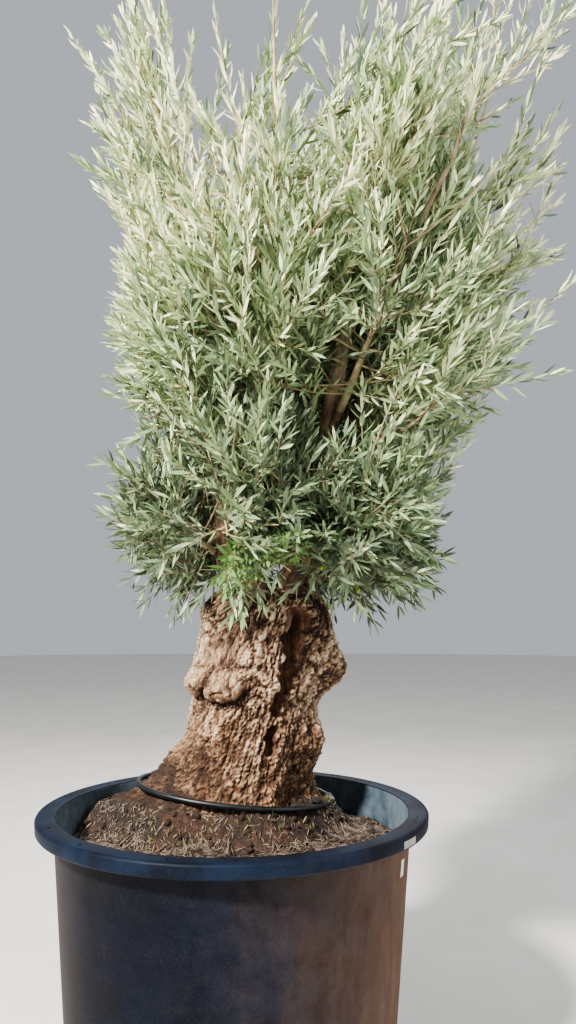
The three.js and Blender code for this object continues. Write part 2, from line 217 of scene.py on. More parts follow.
# Narrow shapes in an outline of (along, across), each with its length, half width and bow as vectors.
def blades(base, ahead, aside, bow, outline, faces):
    rows = [base + ahead * t + aside * w + bow * (t * (1 - t)) for t, w in outline]
    first = np.arange(len(base))[:, None, None] * len(outline)
    return np.stack(rows, axis=1).reshape(-1, 3), (first + np.array(faces)).reshape(-1), len(faces[0])


# A Principled material and short ways to add to its nodes. A colour is six hex digits or a link.
class Shader:

    def __init__(self, name, colour="808080", roughness=0.6, **sockets):
        self.material = bpy.data.materials.new(name)
        self.material.use_nodes = True
        self.tree = self.material.node_tree
        self.main = self.tree.nodes["Principled BSDF"]
        self.put(colour, self.main.inputs["Base Color"])
        self.put(roughness, self.main.inputs["Roughness"])
        for key, value in sockets.items():
            self.put(value, self.main.inputs[key.replace("_", " ")])
        self.place = self.node("TexCoord", "Object")

    def put(self, value, socket):
        if isinstance(value, bpy.types.NodeSocket):
            self.tree.links.new(value, socket)
        else:
            socket.default_value = linear(value) if isinstance(value, str) else value

    # One output of a new node of a kind, with these inputs and settings.
    def node(self, kind, output, inputs=None, **settings):
        made = self.tree.nodes.new("ShaderNode" + kind)
        for key, value in settings.items():
            setattr(made, key, value)
        for key, value in (inputs or {}).items():
            self.put(value, made.inputs[key])
        return made.outputs[output]

    # Noise at one scale, or stretched by a scale for each axis.
    def noise(self, scale, detail=4.0, rough=0.55, distortion=0.0):
        place = self.place
        if isinstance(scale, tuple):
            place = self.node("Mapping", "Vector", {"Vector": place, "Scale": scale})
            scale = 1.0
        inputs = {"Vector": place, "Scale": scale, "Detail": detail, "Roughness": rough}
        return self.node("TexNoise", "Fac", inputs | {"Distortion": distortion})

    def kept(self, name):
        return self.node("Attribute", "Fac", attribute_name=name)

    def axis(self, name):
        return self.node("SeparateXYZ", name, {"Vector": self.place})

    def spread(self, value, low, high, to=(0.0, 1.0)):
        inputs = {"Value": value, "From Min": low, "From Max": high, "To Min": to[0], "To Max": to[1]}
        return self.node("MapRange", "Result", inputs, clamp=True)

    def ramp(self, value, stops):
        colour = self.node("ValToRGB", "Color", {"Fac": value})
        marks = colour.node.color_ramp.elements
        while len(marks) < len(stops):
            marks.new(0.5)
        for mark, (at, tone) in zip(marks, stops.items()):
            mark.position = at
            mark.color = linear(tone)
        return colour

    def blended(self, share, a, b):
        return self.node("Mix", 2, {"Factor": share, 6: a, 7: b}, data_type="RGBA")

    def maths(self, how, value, *others):
        for other in others:
            value = self.node("Math", 0, {0: value, 1: other}, operation=how)
        return value

    def plus(self, *values):
        return self.maths("ADD", *values)

    def times(self, *values):
        return self.maths("MULTIPLY", *values)

    # A value's distance from one half, times a factor.
    def beside(self, value, factor):
        return self.times(self.maths("SUBTRACT", value, 0.5), factor)

    # The material with its colour, its roughness and layers of (height, strength, distance in metres).
    def done(self, colour, roughness=None, layers=()):
        self.put(colour, self.main.inputs["Base Color"])
        if roughness:
            self.put(roughness, self.main.inputs["Roughness"])
        inputs = {}  # each layer takes the normal of the one before
        for height, strength, distance in layers:
            inputs |= {"Height": height, "Strength": strength, "Distance": distance}
            inputs["Normal"] = self.node("Bump", "Normal", inputs)
        if layers:
            self.put(inputs["Normal"], self.main.inputs["Normal"])
        return self.material


def barkMaterial():
    s = Shader("barkRelief", roughness=0.9)
    height, hollow = s.axis("Z"), s.kept("hollow")
    fibres = s.noise((130, 130, 34), 6.0, 0.7, 0.8)
    crumbs = s.noise(300, 5.0, 0.75)
    level = s.plus(s.kept("relief"), s.beside(fibres, 0.8), s.beside(crumbs, 0.5))
    # Dark cracks and pale ridges: partly the bark's own tones, partly painted shade in the cracks and painted
    # highlight on the ridge tops.
    pale = s.ramp(level, {0.18: "1d120d", 0.38: "4c3629", 0.52: "836a53", 0.69: "b8a186", 0.92: "e6dac4"})
    warm = s.ramp(level, {0.12: "25160e", 0.32: "573a27", 0.52: "8b6142", 0.74: "b88f66", 0.97: "dcc4a2"})
    patches = s.spread(s.spread(s.noise(7), 0.42, 0.6), 0, 1, (0.4, 1.0))
    share = s.times(s.plus(s.times(s.spread(height, 1.2, 0.86), 0.7), 0.15), patches)
    stain = s.spread(s.noise(13, 5.0), 0.36, 0.6, (0.15, 0.75))
    # A damp stain at the trunk's foot, strengthened on the left as painted shade and weakened on the right as
    # painted light.
    dampAndShade = s.times(s.spread(height, 1.05, 0.84), stain, s.spread(s.axis("X"), -0.2, 0.1, (1.6, 0.2)))
    outside = s.blended(dampAndShade, s.blended(share, pale, warm), "35261d")
    grain = s.ramp(s.noise((90, 90, 9), 5.0, 0.6, 0.4), {0.3: "352117", 0.5: "6d4c38", 0.7: "a27b5d"})
    # Inner wood grain in the hollows, turning to painted shade deeper in.
    inside = s.blended(s.times(s.spread(hollow, 0.3, 1.0), 0.72), grain, "1c110b")
    colour = s.blended(s.spread(hollow, 0.0, 0.3), outside, inside)
    rough = s.spread(level, 0.2, 1.0, (0.97, 0.8))
    return s.done(colour, rough, [(fibres, 0.9, 0.005), (crumbs, 0.7, 0.002)])


def limbMaterial():
    s = Shader("limbBark", roughness=0.85)
    fibres = s.noise((110, 110, 30), 5.0, 0.65, 0.5)
    level = s.plus(s.kept("relief"), s.beside(fibres, 0.9))
    old = s.ramp(level, {0.1: "1d130e", 0.4: "4e3a2c", 0.7: "84694f", 1.0: "b59c7d"})
    young = s.ramp(level, {0.1: "665343", 0.4: "a08973", 0.7: "c0ab92", 1.0: "d6c6ae"})
    colour = s.blended(s.spread(s.axis("Z"), 1.85, 2.6), old, young)
    return s.done(colour, None, [(fibres, 0.7, 0.003), (s.noise(180), 0.5, 0.001)])


def twigMaterial():
    s = Shader("twigBark", roughness=0.75)
    return s.done(s.ramp(s.noise(14), {0.3: "7a6c54", 0.5: "a69676", 0.7: "c6b592"}))


# Dark plastic: a bluish rim, a wall that turns brown towards its right and left edges, partly dust and partly
# a painted reflection of sunlit ground, more dust on it, and a greyer inner wall.
def tubMaterial():
    s = Shader("dustyPlasticPaintedReflection", roughness=0.55, Specular_IOR_Level=0.1)
    height = s.axis("Z")
    streaks = s.noise((9, 9, 2.6), 6.0, 0.68, 0.4)
    dust = s.noise(18, 6.0, 0.7)
    grit = s.noise(300, 3.0, 0.6)
    across = s.plus(s.axis("X"), s.beside(streaks, 0.14))
    # Brown towards the right and left edges, less towards the back: dust together with a painted reflection
    # of sunlit ground.
    right = s.maths("POWER", s.spread(across, -0.1, 0.5, (0.0, 0.88)), 2.0)
    right = s.times(right, s.spread(s.axis("Y"), 0.25, -0.2, (0.12, 1.0)))
    left = s.spread(across, -0.38, -0.56, (0.0, 0.14))
    spots = s.times(s.spread(s.plus(streaks, dust), 0.95, 1.4), 0.02)
    share = s.plus(s.spread(height, 0.25, 0.0, (0.0, 0.25)), spots, s.plus(right, left))
    share = s.times(share, s.spread(height, 0.768, 0.752, (0.05, 1.0)))
    wall = s.ramp(s.noise(3, 3.0), {0.35: "02060f", 0.65: "071022"})
    rim = s.ramp(s.noise(9), {0.35: "08111f", 0.65: "132134"})
    clean = s.blended(s.spread(height, 0.756, 0.764), wall, rim)
    dustAndReflectionBrown = s.ramp(s.plus(s.times(streaks, 0.8), s.times(dust, 0.2)), {0.3: "644839", 0.7: "94725a"})
    colour = s.blended(s.times(share, 0.9), clean, dustAndReflectionBrown)
    film = s.plus(s.times(s.noise(11, 5.0, 0.6), 0.55), s.times(dust, 0.45))
    haze = s.times(s.spread(film, 0.36, 0.66), s.spread(across, -0.2, 0.2, (0.03, 0.26)),
                   s.spread(height, 0.768, 0.74, (0.2, 1.0)))
    colour = s.blended(haze, colour, "595b60")
    normal = s.node("NewGeometry", "Normal")
    facing = s.node("VectorMath", "Value", {0: normal, 1: s.place}, operation="DOT_PRODUCT")
    inner = s.ramp(s.plus(s.times(streaks, 0.5), s.times(dust, 0.5)), {0.36: "36444f", 0.64: "6d7a83"})
    colour = s.blended(s.spread(facing, -0.1, -0.25), colour, inner)
    colour = s.blended(s.times(s.spread(grit, 0.5, 0.75), 0.06), colour, "8d8476")
    return s.done(colour, s.spread(share, 0.0, 0.8, (0.5, 0.78)), [(dust, 0.12, 0.0015), (grit, 0.1, 0.0005)])


def soilMaterial():
    s = Shader("drySoil", roughness=0.95)
    clods = s.noise(45, 6.0, 0.7)
    grains = s.node("TexVoronoi", "Distance", {"Vector": s.place, "Scale": 260})
    tone = s.plus(s.times(clods, 0.75), s.times(grains, 0.35))
    dark = s.ramp(tone, {0.3: "0f0b09", 0.48: "221a16", 0.64: "392e27", 0.85: "594b40"})
    red = s.ramp(tone, {0.3: "150d0a", 0.48: "32231b", 0.64: "50392c", 0.85: "705745"})
    colour = s.blended(s.spread(s.noise(8, 5.0), 0.46, 0.64), dark, red)
    return s.done(colour, None, [(clods, 1.0, 0.008), (grains, 0.6, 0.002)])


# A two-toned surface with a fine grain.
def plainMaterial(name, low, high, scale, roughness):
    s = Shader(name, roughness=roughness)
    cloud = s.noise(scale, 4.0, 0.6)
    rough = s.spread(cloud, 0.3, 0.7, (roughness * 0.85, min(1.0, roughness * 1.15)))
    grain = s.noise(scale * 12, 3.0)
    return s.done(s.ramp(cloud, {0.35: low, 0.65: high}), rough, [(grain, 0.35, 0.0004)])


tubShape = {
    "height": 0.8,
    "rimRadius": 0.6,
    "rimWidth": 0.062,
    "lipDrop": 0.04,
    "wallTop": 0.545,
    "wallFoot": 0.475,
    "wall": 0.009,
    "floor": 0.012,
    "footRound": 0.012,
    "lipRound": 0.011,
    "innerRound": 0.007,
    "underRound": 0.006,
    "segments": 144,
    "holeRadius": 0.0055,
    "holeDepth": 0.016,
    "holeCircle": 0.572,
    "holeTurns": [-106.5, -89.75, -24, -20, 33, 50, 92, 140, 176, 205, 226],
}


# Points (radius, height) on part of a circle, turns in degrees from straight out.
def arc(middle, radius, fromTurn, toTurn, steps):
    turns = np.radians(np.linspace(fromTurn, toTurn, steps))
    return [(middle[0] + radius * math.cos(t), middle[1] + radius * math.sin(t)) for t in turns]


def wallRadius(height):
    t = tubShape
    slope = (t["wallTop"] - t["wallFoot"]) / (t["height"] - t["lipDrop"])
    return t["wallFoot"] + slope * height


# The section from the middle of the underside round the lip to the middle of the floor, spun and drilled.
def makeTub(material):
    t = tubShape
    rim, top, foot, under = t["rimRadius"], t["height"], t["wallFoot"], t["height"] - t["lipDrop"]
    footRound, lipRound, innerRound, underRound = (t[f"{k}Round"] for k in ("foot", "lip", "inner", "under"))
    innerTop, inside = rim - t["rimWidth"], t["wallTop"] - t["wall"]
    line = [(0, 0), (foot * 0.4, 0), (foot - 0.03, 0)]
    line += arc((foot - footRound, footRound), footRound, -90, 0, 6)
    line += [(wallRadius(height), height) for height in (0.1, 0.25, 0.4, 0.55, 0.7)]
    line += [(t["wallTop"], under + 0.004), (t["wallTop"] + 0.004, under + 0.001), (rim - underRound, under)]
    line += arc((rim - underRound, under + underRound), 0.004, -70, 10, 4)
    line += arc((rim - lipRound, top - lipRound), lipRound, 12, 90, 7)
    line += arc((innerTop + innerRound, top - innerRound), innerRound, 95, 180, 5)
    line += [(innerTop - 0.001, under + 0.004)]
    line += [(mix(inside, foot - t["wall"], s), mix(under, t["floor"], s)) for s in (0, 0.1, 0.4, 1)]
    line += [(0, t["floor"])]
    tub = bmeshPiece("nurseryTub", spun(line, t["segments"]), material)
    drills = bmesh.new()
    for turn in np.radians(t["holeTurns"]):
        place = Vector((math.cos(turn), math.sin(turn), 0)) * t["holeCircle"] + Vector((0, 0, top))
        bmesh.ops.create_cone(drills, cap_ends=True, segments=12, radius1=t["holeRadius"],
                              radius2=t["holeRadius"], depth=2 * t["holeDepth"],
                              matrix=Matrix.Translation(place))
    tool = bmeshPiece("drills", drills, material)
    cut = tub.modifiers.new("holes", "BOOLEAN")
    cut.object = tool
    cut.solver = "EXACT"
    bpy.context.view_layer.update()
    whole = bpy.data.meshes.new_from_object(tub.evaluated_get(bpy.context.evaluated_depsgraph_get()))
    tub.modifiers.clear()
    tub.data = whole
    bpy.data.objects.remove(tool)
    whole.set_sharp_from_angle(angle=math.radians(35))
    dress(tub, "tub", "tub")


labels = [  # bare tags on the rim and the wall: turns in degrees, heights, thickness
    {"name": "rimTag", "turns": (-41, -34), "heights": (0.768, 0.786), "thick": 0.0009, "on": "rim"},
    {"name": "wallTag", "turns": (-29, -26), "heights": (0.655, 0.7), "thick": 0.0012, "on": "wall"},
]


# A flat grid bent round the tub, then given its thickness.
def makeLabel(label, material):
    bm = bmesh.new()
    bmesh.ops.create_grid(bm, x_segments=16, y_segments=4, size=0.5)
    for v in bm.verts:
        turn = math.radians(mix(*label["turns"], v.co.x + 0.5))
        height = mix(*label["heights"], v.co.y + 0.5)
        radius = tubShape["rimRadius"] - 0.0003 if label["on"] == "rim" else wallRadius(height)
        v.co = (radius * math.cos(turn), radius * math.sin(turn), height)
    bmesh.ops.solidify(bm, geom=bm.faces, thickness=label["thick"])
    dress(bmeshPiece(label["name"], bm, material, soft=False), "tub")


paper = plainMaterial("plainTagPaper", "c9c6bd", "e6e3da", 60, 0.6)
makeTub(tubMaterial())
for label in labels:
    makeLabel(label, paper)
print("tub made")


# The trunk keeps the solid's levels, roots and knots

trunk = {
    "foot": 0.77,
    "middleY": 0.19,
    "heights": [0.77, 0.82, 0.89, 0.98, 1.09, 1.2, 1.31, 1.41, 1.47, 1.5],
    "radius": [0.28, 0.25, 0.22, 0.206, 0.198, 0.216, 0.216, 0.198, 0.158, 0.09],
    "right": [-0.032, -0.016, 0.01, 0.044, 0.062, 0.084, 0.098, 0.106, 0.108, 0.11],
    "deep": [0.72, 0.76, 0.84, 0.92, 0.96, 0.96, 0.96, 0.98, 1, 1],
    "rootFade": 0.095,
    "roots": [  # direction, swell at the ground, spread in degrees
        (184, 0.112, 24), (236, 0.046, 20), (292, 0.052, 20),
        (350, 0.054, 24), (48, 0.05, 26), (118, 0.056, 26),
    ],
    "knots": [  # direction, height, swell, half width, half height
        (204, 1.18, 0.05, 0.074, 0.058), (238, 1.16, 0.046, 0.07, 0.05), (222, 1.3, 0.02, 0.09, 0.07),
        (348, 1.205, 0.084, 0.074, 0.074), (330, 1.36, 0.03, 0.07, 0.11), (336, 0.985, 0.034, 0.07, 0.066),
        (80, 1.18, 0.046, 0.09, 0.08), (140, 1.33, 0.034, 0.09, 0.07),
    ],
    "sides": 330,
    "bands": 296,
}

hollows = [  # open clefts in the trunk: direction, height and half width at either end, and depth
    ((291, 1.075, 0.016), (299, 1.37, 0.044), 0.095),
    ((289, 0.955, 0.012), (290, 1.02, 0.017), 0.055),
]

barkForm = {
    "twist": 1.4,  # radians per metre that the fibres turn round the trunk
    "lumps": 0.016,
    "flutes": 0.016,
    "chips": 0.017,
    "fibres": 0.006,
    "crumbs": 0.0036,
    "burls": 2,  # the first knots are smooth burls with an edge below, and the next one is smooth too
    "burlLift": 0.012,
    "burlGroove": 0.011,
    "burlCalm": 0.7,
    "burlTop": 1.37,
    "burlCleft": 0.016,
    "burlFolds": 0.011,
    "shoulders": [  # knots in the bark only
        (200, 1.42, 0.035, 0.09, 0.06), (232, 1.43, 0.02, 0.09, 0.06), (346, 0.93, 0.026, 0.08, 0.075),
    ],
}


# A value between the trunk's levels, on a smooth curve through them.
def trunkLevel(key, height):
    heights, rows = np.array(trunk["heights"]), np.array(trunk[key])
    height = np.asarray(height, float)
    i = np.clip(np.searchsorted(heights, height) - 1, 0, len(rows) - 2)
    t = (height - heights[i]) / (heights[i + 1] - heights[i])
    a, b = rows[i], rows[i + 1]
    slopeA = (b - rows[np.maximum(i - 1, 0)]) / 2
    slopeB = (rows[np.minimum(i + 2, len(rows) - 1)] - a) / 2
    t2, t3 = t * t, t * t * t
    start = (2 * t3 - 3 * t2 + 1) * a + (t3 - 2 * t2 + t) * slopeA
    return start + (3 * t2 - 2 * t3) * b + (t3 - t2) * slopeB


def turnBetween(a, b):
    return np.arctan2(np.sin(a - b), np.cos(a - b))


# How much of each knot is under a point, from 0 to 1, with its swell and its middle's height.
def knotsUnder(turn, height, knots=trunk["knots"]):
    mean = trunkLevel("radius", height)
    for direction, middle, swell, wide, tall in knots:
        across = turnBetween(turn, math.radians(direction)) * mean / wide
        yield np.exp(-across ** 2 - ((height - middle) / tall) ** 2), swell, middle


def trunkRadius(turn, height):
    turn, height = np.asarray(turn, float), np.asarray(height, float)
    radius = trunkLevel("radius", height) + 0 * turn
    fade = np.exp(-(height - trunk["foot"]) / trunk["rootFade"])
    for direction, swell, spread in trunk["roots"]:
        off = turnBetween(turn, math.radians(direction)) / math.radians(spread)
        radius = radius + swell * fade * np.exp(-off * off)
    for share, swell, _ in knotsUnder(turn, height):
        radius = radius + swell * share
    return radius


# How far a place is outside the trunk, at its foot or at a height.
def outsideTrunk(x, y, height=trunk["foot"]):
    across = x - trunkLevel("right", height)
    deep = (y - trunk["middleY"]) / trunkLevel("deep", height)
    return np.hypot(across, deep) - trunkRadius(np.arctan2(deep, across), height)


# How far the bark is sunk by the open hollows.
def hollowDepth(turn, height):
    sunk = np.zeros_like(turn)
    for (lowTurn, lowHeight, lowWide), (highTurn, highHeight, highWide), deepest in hollows:
        t = np.clip((height - lowHeight) / (highHeight - lowHeight), 0, 1)
        ragged = 0.035 * np.sin(height * 61) + 0.02 * np.sin(height * 137)
        line = np.radians(mix(lowTurn, highTurn, t)) + ragged
        wide = mix(lowWide, highWide, t)
        across = turnBetween(turn, line) * trunkRadius(turn, height) / wide
        past = (height - np.clip(height, lowHeight, highHeight)) / (wide * 0.9)
        deep = deepest * np.clip(wide / highWide, 0.4, 1)
        sunk = np.maximum(sunk, deep * smooth((1.45 - np.hypot(across, past)) / 0.9))
    return sunk


# Displacement of the bark in metres and its level from 0 in cracks to 1 on ridges; the material turns the
# level into the bark's own tones together with painted shade in the cracks and painted highlight on the
# ridges.
def barkRelief(places, turn, height):
    form = barkForm
    angle = form["twist"] * (height - trunk["foot"])
    cos, sin = np.cos(angle), np.sin(angle)
    x, y = places[:, 0] - 0.06, places[:, 1] - trunk["middleY"]
    spots = columns(x * cos + y * sin, y * cos - x * sin, height)
    lumps = noiseAt(spots, (9, 9, 7))
    bend = noiseAt(spots, (13, 13, 6), (0, 0, 4)) * 0.9
    flutes = noiseAt(spots, (15, 15, 2.6))
    folds = noiseAt(spots, (34, 34, 7), (0, 0, 3))
    coarse = noiseAt(spots, (42, 42, 17), columns(bend, -bend, lumps))
    medium = noiseAt(spots, (86, 86, 36), columns(bend * 2, 0, bend))
    small = noiseAt(spots, (140, 140, 72), columns(0, bend * 2, 0))
    fibres = noiseAt(spots, (160, 160, 20))
    crumbs = noiseAt(spots, (190, 190, 120))
    edge, groove, onBurl = 0, 0, 0
    burls = list(knotsUnder(turn, height))[:form["burls"] + 1]
    for number, (share, _, middle) in enumerate(burls):
        share = share * (1 + 0.5 * folds)
        onBurl = np.maximum(onBurl, smooth((share - 0.12) / 0.3))
        if number < form["burls"]:
            lower = smooth((middle + 0.03 - height) / 0.06)
            edge = np.maximum(edge, smooth((share - 0.38) / 0.2) * lower)
            groove = np.maximum(groove, peak(share, 0.3, 0.1) * lower)
    groove = groove * (1 - edge)
    onBurl = onBurl * smooth((form["burlTop"] - height) / 0.1)
    first, second = burls[0][0], burls[1][0]
    cleft = peak(first, second, 0.1) * smooth((first + second - 0.35) / 0.3)
    ridges = 1 - 2 * np.abs(flutes)
    low = smooth((1.2 - height) / 0.3)
    chips = (0.42 - 0.24 * low) * np.clip(np.abs(coarse) * 2.6, 0, 1) ** 0.7
    chips += 0.33 * np.clip(np.abs(medium) * 2.6, 0, 1) ** 0.75
    chips += (0.25 + 0.24 * low) * np.clip(np.abs(small) * 2.6, 0, 1)
    calm = 1 - form["burlCalm"] * onBurl
    chips = mix(chips, chips ** 1.25, 1 - low) * mix(0.75, 1.25, np.clip(lumps + 0.5, 0, 1))
    out = form["lumps"] * lumps + form["flutes"] * (ridges - 0.5) * (0.5 + 0.7 * low) * calm
    out += form["chips"] * (chips - 0.62) * (1 - 0.6 * low) * calm
    out += form["fibres"] * fibres * (1 + low) * calm + form["crumbs"] * crumbs * (1 + 0.6 * low)
    out += form["burlLift"] * edge - form["burlGroove"] * groove - form["burlCleft"] * cleft
    for share, swell, _ in knotsUnder(turn, height, form["shoulders"]):
        out += swell * share
    creases = peak(folds, 0, 0.09) * onBurl
    out -= form["burlFolds"] * creases
    level = (0.72 - 0.26 * low) * chips + 0.13 * np.clip(ridges, 0, 1)
    level += (0.16 + 0.2 * low) * fibres + 0.16 * crumbs
    level += 0.07 * low + 0.05 * peak(height, 1.04, 0.1) - 0.03 * smooth((height - 1.2) / 0.1)
    level = mix(level, 0.52 + 0.32 * level, 0.85 * onBurl)
    # Painted shade: the level is lowered in the groove under the burls, in the cleft between them and in
    # their creases.
    return out, level - 0.4 * groove - 0.25 * cleft - 0.2 * creases


# A drum spun with a radius of 1, whose points then take the trunk's shape and bark.
def makeTrunk(material):
    foot, top = trunk["foot"], trunk["heights"][-1]
    line = [(0, foot)] + [(1, height) for height in np.linspace(foot, top, trunk["bands"] + 1)] + [(0, top)]
    made = bmeshPiece("trunkBark", spun(line, trunk["sides"]), material)
    x, y, height = placesOf(made).T
    turn, skin = np.arctan2(y, x), np.hypot(x, y)  # skin is 0 only in the middles of the two ends

    def placed(radius):
        right = trunkLevel("right", height) + radius * np.cos(turn)
        return columns(right, trunk["middleY"] + radius * np.sin(turn) * trunkLevel("deep", height), height)

    radius = trunkRadius(turn, height)
    out, level = barkRelief(placed(radius), turn, height)
    sunk = hollowDepth(turn, height)
    movePoints(made, placed(skin * (radius + out - sunk)))
    # In the hollows the level is lowered: painted shade in the clefts.
    keep(made, "relief", mix(level, 0.12 + 0.2 * level, smooth(sunk / 0.04)))
    keep(made, "hollow", smooth(sunk / 0.09))
    dress(made, "bark", "trunk")


makeTrunk(barkMaterial())
print("trunk made")


# The crown keeps the directions and tiers of the solids

directions = {  # the turn in degrees, the limb's radius, and how far out each tier lies
    "left": (187, 0.05, [0.9, 0.85, 1.25]),
    "front_left": (246, 0.046, [1.05, 0.95, 0.95]),
    "front_right": (302, 0.05, [1, 1.05, 1]),
    "right": (352, 0.06, [0.95, 1.1, 1.42]),
    "back_right": (52, 0.052, [0.95, 1, 1.05]),
    "back_left": (122, 0.048, [0.95, 1, 1]),
}

tierValues = {
    "name": ["skirt", "side", "plume"],
    "height": [1.725, 2.39, 3.09],
    "out": [0.345, 0.42, 0.435],
    "reach": [[0.315, 0.33, 0.385], [0.345, 0.365, 0.45], [0.38, 0.4, 0.74]],
    "rise": [-0.12, 0.55, 0.86],
    "leaves": [0.1, 0.34, None],  # where its boughs leave the limbs
    "boughRoot": [0.023, 0.022, None],
    "twigs": [36, 30, 38],
    "twigOpening": [(112, 30), (108, 30), (92, 22)],
    "twigLength": [(0.06, 0.38), (0.08, 0.44), (0.08, 0.52)],
    "shoots": [12, 11, 13],
    "shootLift": [(-0.35, 0.9), (0.1, 1.0), (0.35, 1.4)],
    "shootLength": [(0.14, 0.36), (0.2, 0.42), (0.24, 0.6)],
    "leafOpening": [(58, 28), (46, 22), (32, 13)],
    "ragged": [(0.9, 4.5), (0.95, 3.8), (0.95, 3.6)],  # how far in shoots may end
    "leaders": [3, 4, 2],  # one twig in so many has a long shoot
}
tiers = [dict(zip(tierValues, values)) for values in zip(*tierValues.values())]

crown = {
    "foot": np.array([0.108, 0.17, 1.45]),
    "lean": (0.11, -0.03),
    "limbOut": [(1.4, 0.088), (1.57, 0.15), (1.93, 0.225), (2.36, 0.285)],
    "limbHeart": (0.09, 0.2, 1.2),  # inside the trunk, where all limbs come from
    "limbTip": 0.017,
    "boughTip": 0.012,
    "boughBend": 0.18,
    "woodShare": 0.45,
}

growth = {
    "stemShare": 0.62,
    "stemBend": 0.4,
    "stemRoot": 0.0145,
    "twigRoot": 0.0043,
    "twigTip": 0.0022,
    "shootRoot": 0.0021,
    "shootTip": 0.0009,
    "twigPlaces": (0.02, 0.97),
    "twigWander": 0.7,
    "twigLift": 0.15,
    "shootsOnStem": 12,
    "shootOpening": (0.35, 1.0),
    "shortestKept": 0.07,
    "leafStep": 0.0205,  # between two pairs of leaves
    "leafLength": (0.047, 0.074),
    "leafWidth": 0.165,  # as a share of its length
    "leavesInPiece": 48000,
    "clearance": 0.008,
    "thinOnTwig": 0.5,  # how much shoots are thinned on a twig that is kept high up
    "boxMargin": np.array([-0.025, 0.03, 0.0]),
}

crownOutline = {  # how far the crown reaches to the left and right in the photo, by height
    "heights": [1.4, 1.76, 2.1, 2.45, 2.63, 2.85, 3.05, 3.4],
    "left": [-0.33, -0.39, -0.42, -0.37, -0.33, -0.48, -0.66, -0.7],
    "right": [0.62, 0.64, 0.82, 1.15, 1.3, 1.3, 1.3, 1.3],
    "fade": 0.1,
}

thinning = {  # the crown opens from a height on: that height and the share left bare, from left to right
    "right": [-0.5, -0.3, -0.15, 0.0, 0.2, 0.33, 0.45, 0.65, 0.8, 0.9, 1.2],
    "from": [2.88, 2.84, 2.84, 2.89, 2.88, 3.06, 3.26, 3.24, 3.04, 2.78, 2.65],
    "share": [0.45, 0.76, 0.91, 0.94, 0.93, 0.87, 0.86, 0.86, 0.82, 0.87, 0.88],
    "fade": 0.22,
    "slope": 0.65,  # the fall of that height towards the front
}

bareZones = [  # where the photo shows a limb, the dark inside or sky: from, to, radius, share left bare
    ((0.23, -0.75, 1.847), (0.314, -0.1, 2.02), 0.075, 0.85),
    ((0.263, -0.75, 1.997), (0.359, -0.1, 2.224), 0.07, 0.85),
    ((-0.063, -0.7, 1.63), (-0.09, 0.08, 1.739), 0.052, 0.92),
    ((-0.05, -0.7, 1.539), (-0.072, 0.08, 1.609), 0.048, 0.9),
    ((0.515, -0.42, 2.5), (0.694, -0.42, 2.904), 0.09, 0.92),
    ((0.481, -0.56, 2.426), (0.648, -0.56, 2.803), 0.09, 0.92),
    ((0.64, -0.46, 2.78), (0.8, -0.46, 3.04), 0.085, 0.93),
]

bareBoughs = [  # boughs that show between the leaves, each from a limb on, with shoots near their tips
    {"points": [(0.5, 0.1, 2.38), (0.529, -0.08, 2.481), (0.559, -0.2, 2.6), (0.684, -0.3, 2.857),
                (0.727, -0.32, 2.977), (0.89, -0.34, 3.141), (1.041, -0.36, 3.321)],
     "root": 0.0125, "tip": 0.003, "tier": "plume", "leavesFrom": 0.55, "shoots": 16},
    {"points": [(0.29, -0.04, 1.95), (0.408, -0.16, 1.937), (0.518, -0.26, 1.959), (0.604, -0.33, 2.029),
                (0.705, -0.4, 2.055)],
     "root": 0.0075, "tip": 0.0025, "tier": "side", "leavesFrom": 0.6, "shoots": 9},
]


# The source's smooth curve through points, at evenly spaced places: (count, 3).
def bentCurve(points, count=60):
    p = np.asarray(points, float)
    p = np.concatenate([[2 * p[0] - p[1]], p, [2 * p[-1] - p[-2]]])
    t = np.linspace(0, 1, 40, endpoint=False)[:, None]
    runs = []
    for a, b, c, d in zip(p, p[1:], p[2:], p[3:]):
        runs.append(b + 0.5 * t * (c - a) + t ** 2 * (a - 2.5 * b + 2 * c - 0.5 * d)
                    + t ** 3 * 0.5 * (-a + 3 * b - 3 * c + d))
    dense = np.concatenate(runs + [p[-2:-1]])
    length = np.concatenate([[0], np.cumsum(np.linalg.norm(np.diff(dense, axis=0), axis=1))])
    even = np.linspace(0, length[-1], count)
    return np.stack([np.interp(even, length, dense[:, k]) for k in range(3)], 1)


# The place and the direction at a share of an evenly spaced curve, or at many shares.
def along(curve, share):
    at = np.asarray(share) * (len(curve) - 1.0)
    i = np.minimum(at.astype(int), len(curve) - 2)
    return mix(curve[i], curve[i + 1], (at - i)[..., None]), unit(curve[i + 1] - curve[i])


def away(turn):
    return np.array([math.cos(math.radians(turn)), math.sin(math.radians(turn)), 0.0])


def crownPoint(turn, out, height):
    rise = height - crown["foot"][2]
    return crown["foot"] + np.array([*crown["lean"], 1.0]) * rise + away(turn) * out


masses = [
    {"name": f"{tier['name']}_{side}", "side": side, "tier": tier, "outward": away(turn),
     "heart": crownPoint(turn, tier["out"] * outs[row], tier["height"])}
    for row, tier in enumerate(tiers) for side, (turn, _, outs) in directions.items()
]
hearts, outwards = (np.array([mass[key] for mass in masses]) for key in ("heart", "outward"))
reaches = np.array([mass["tier"]["reach"] for mass in masses])


# How far points lie from each heart in that mass's own measure: (..., masses).
def measured(points):
    v = np.asarray(points)[..., None, :] - hearts
    out = np.sum(v * outwards, axis=-1) / reaches[:, 0]
    side = (v[..., 0] * outwards[:, 1] - v[..., 1] * outwards[:, 0]) / reaches[:, 1]
    return np.sqrt(out ** 2 + side ** 2 + (v[..., 2] / reaches[:, 2]) ** 2)


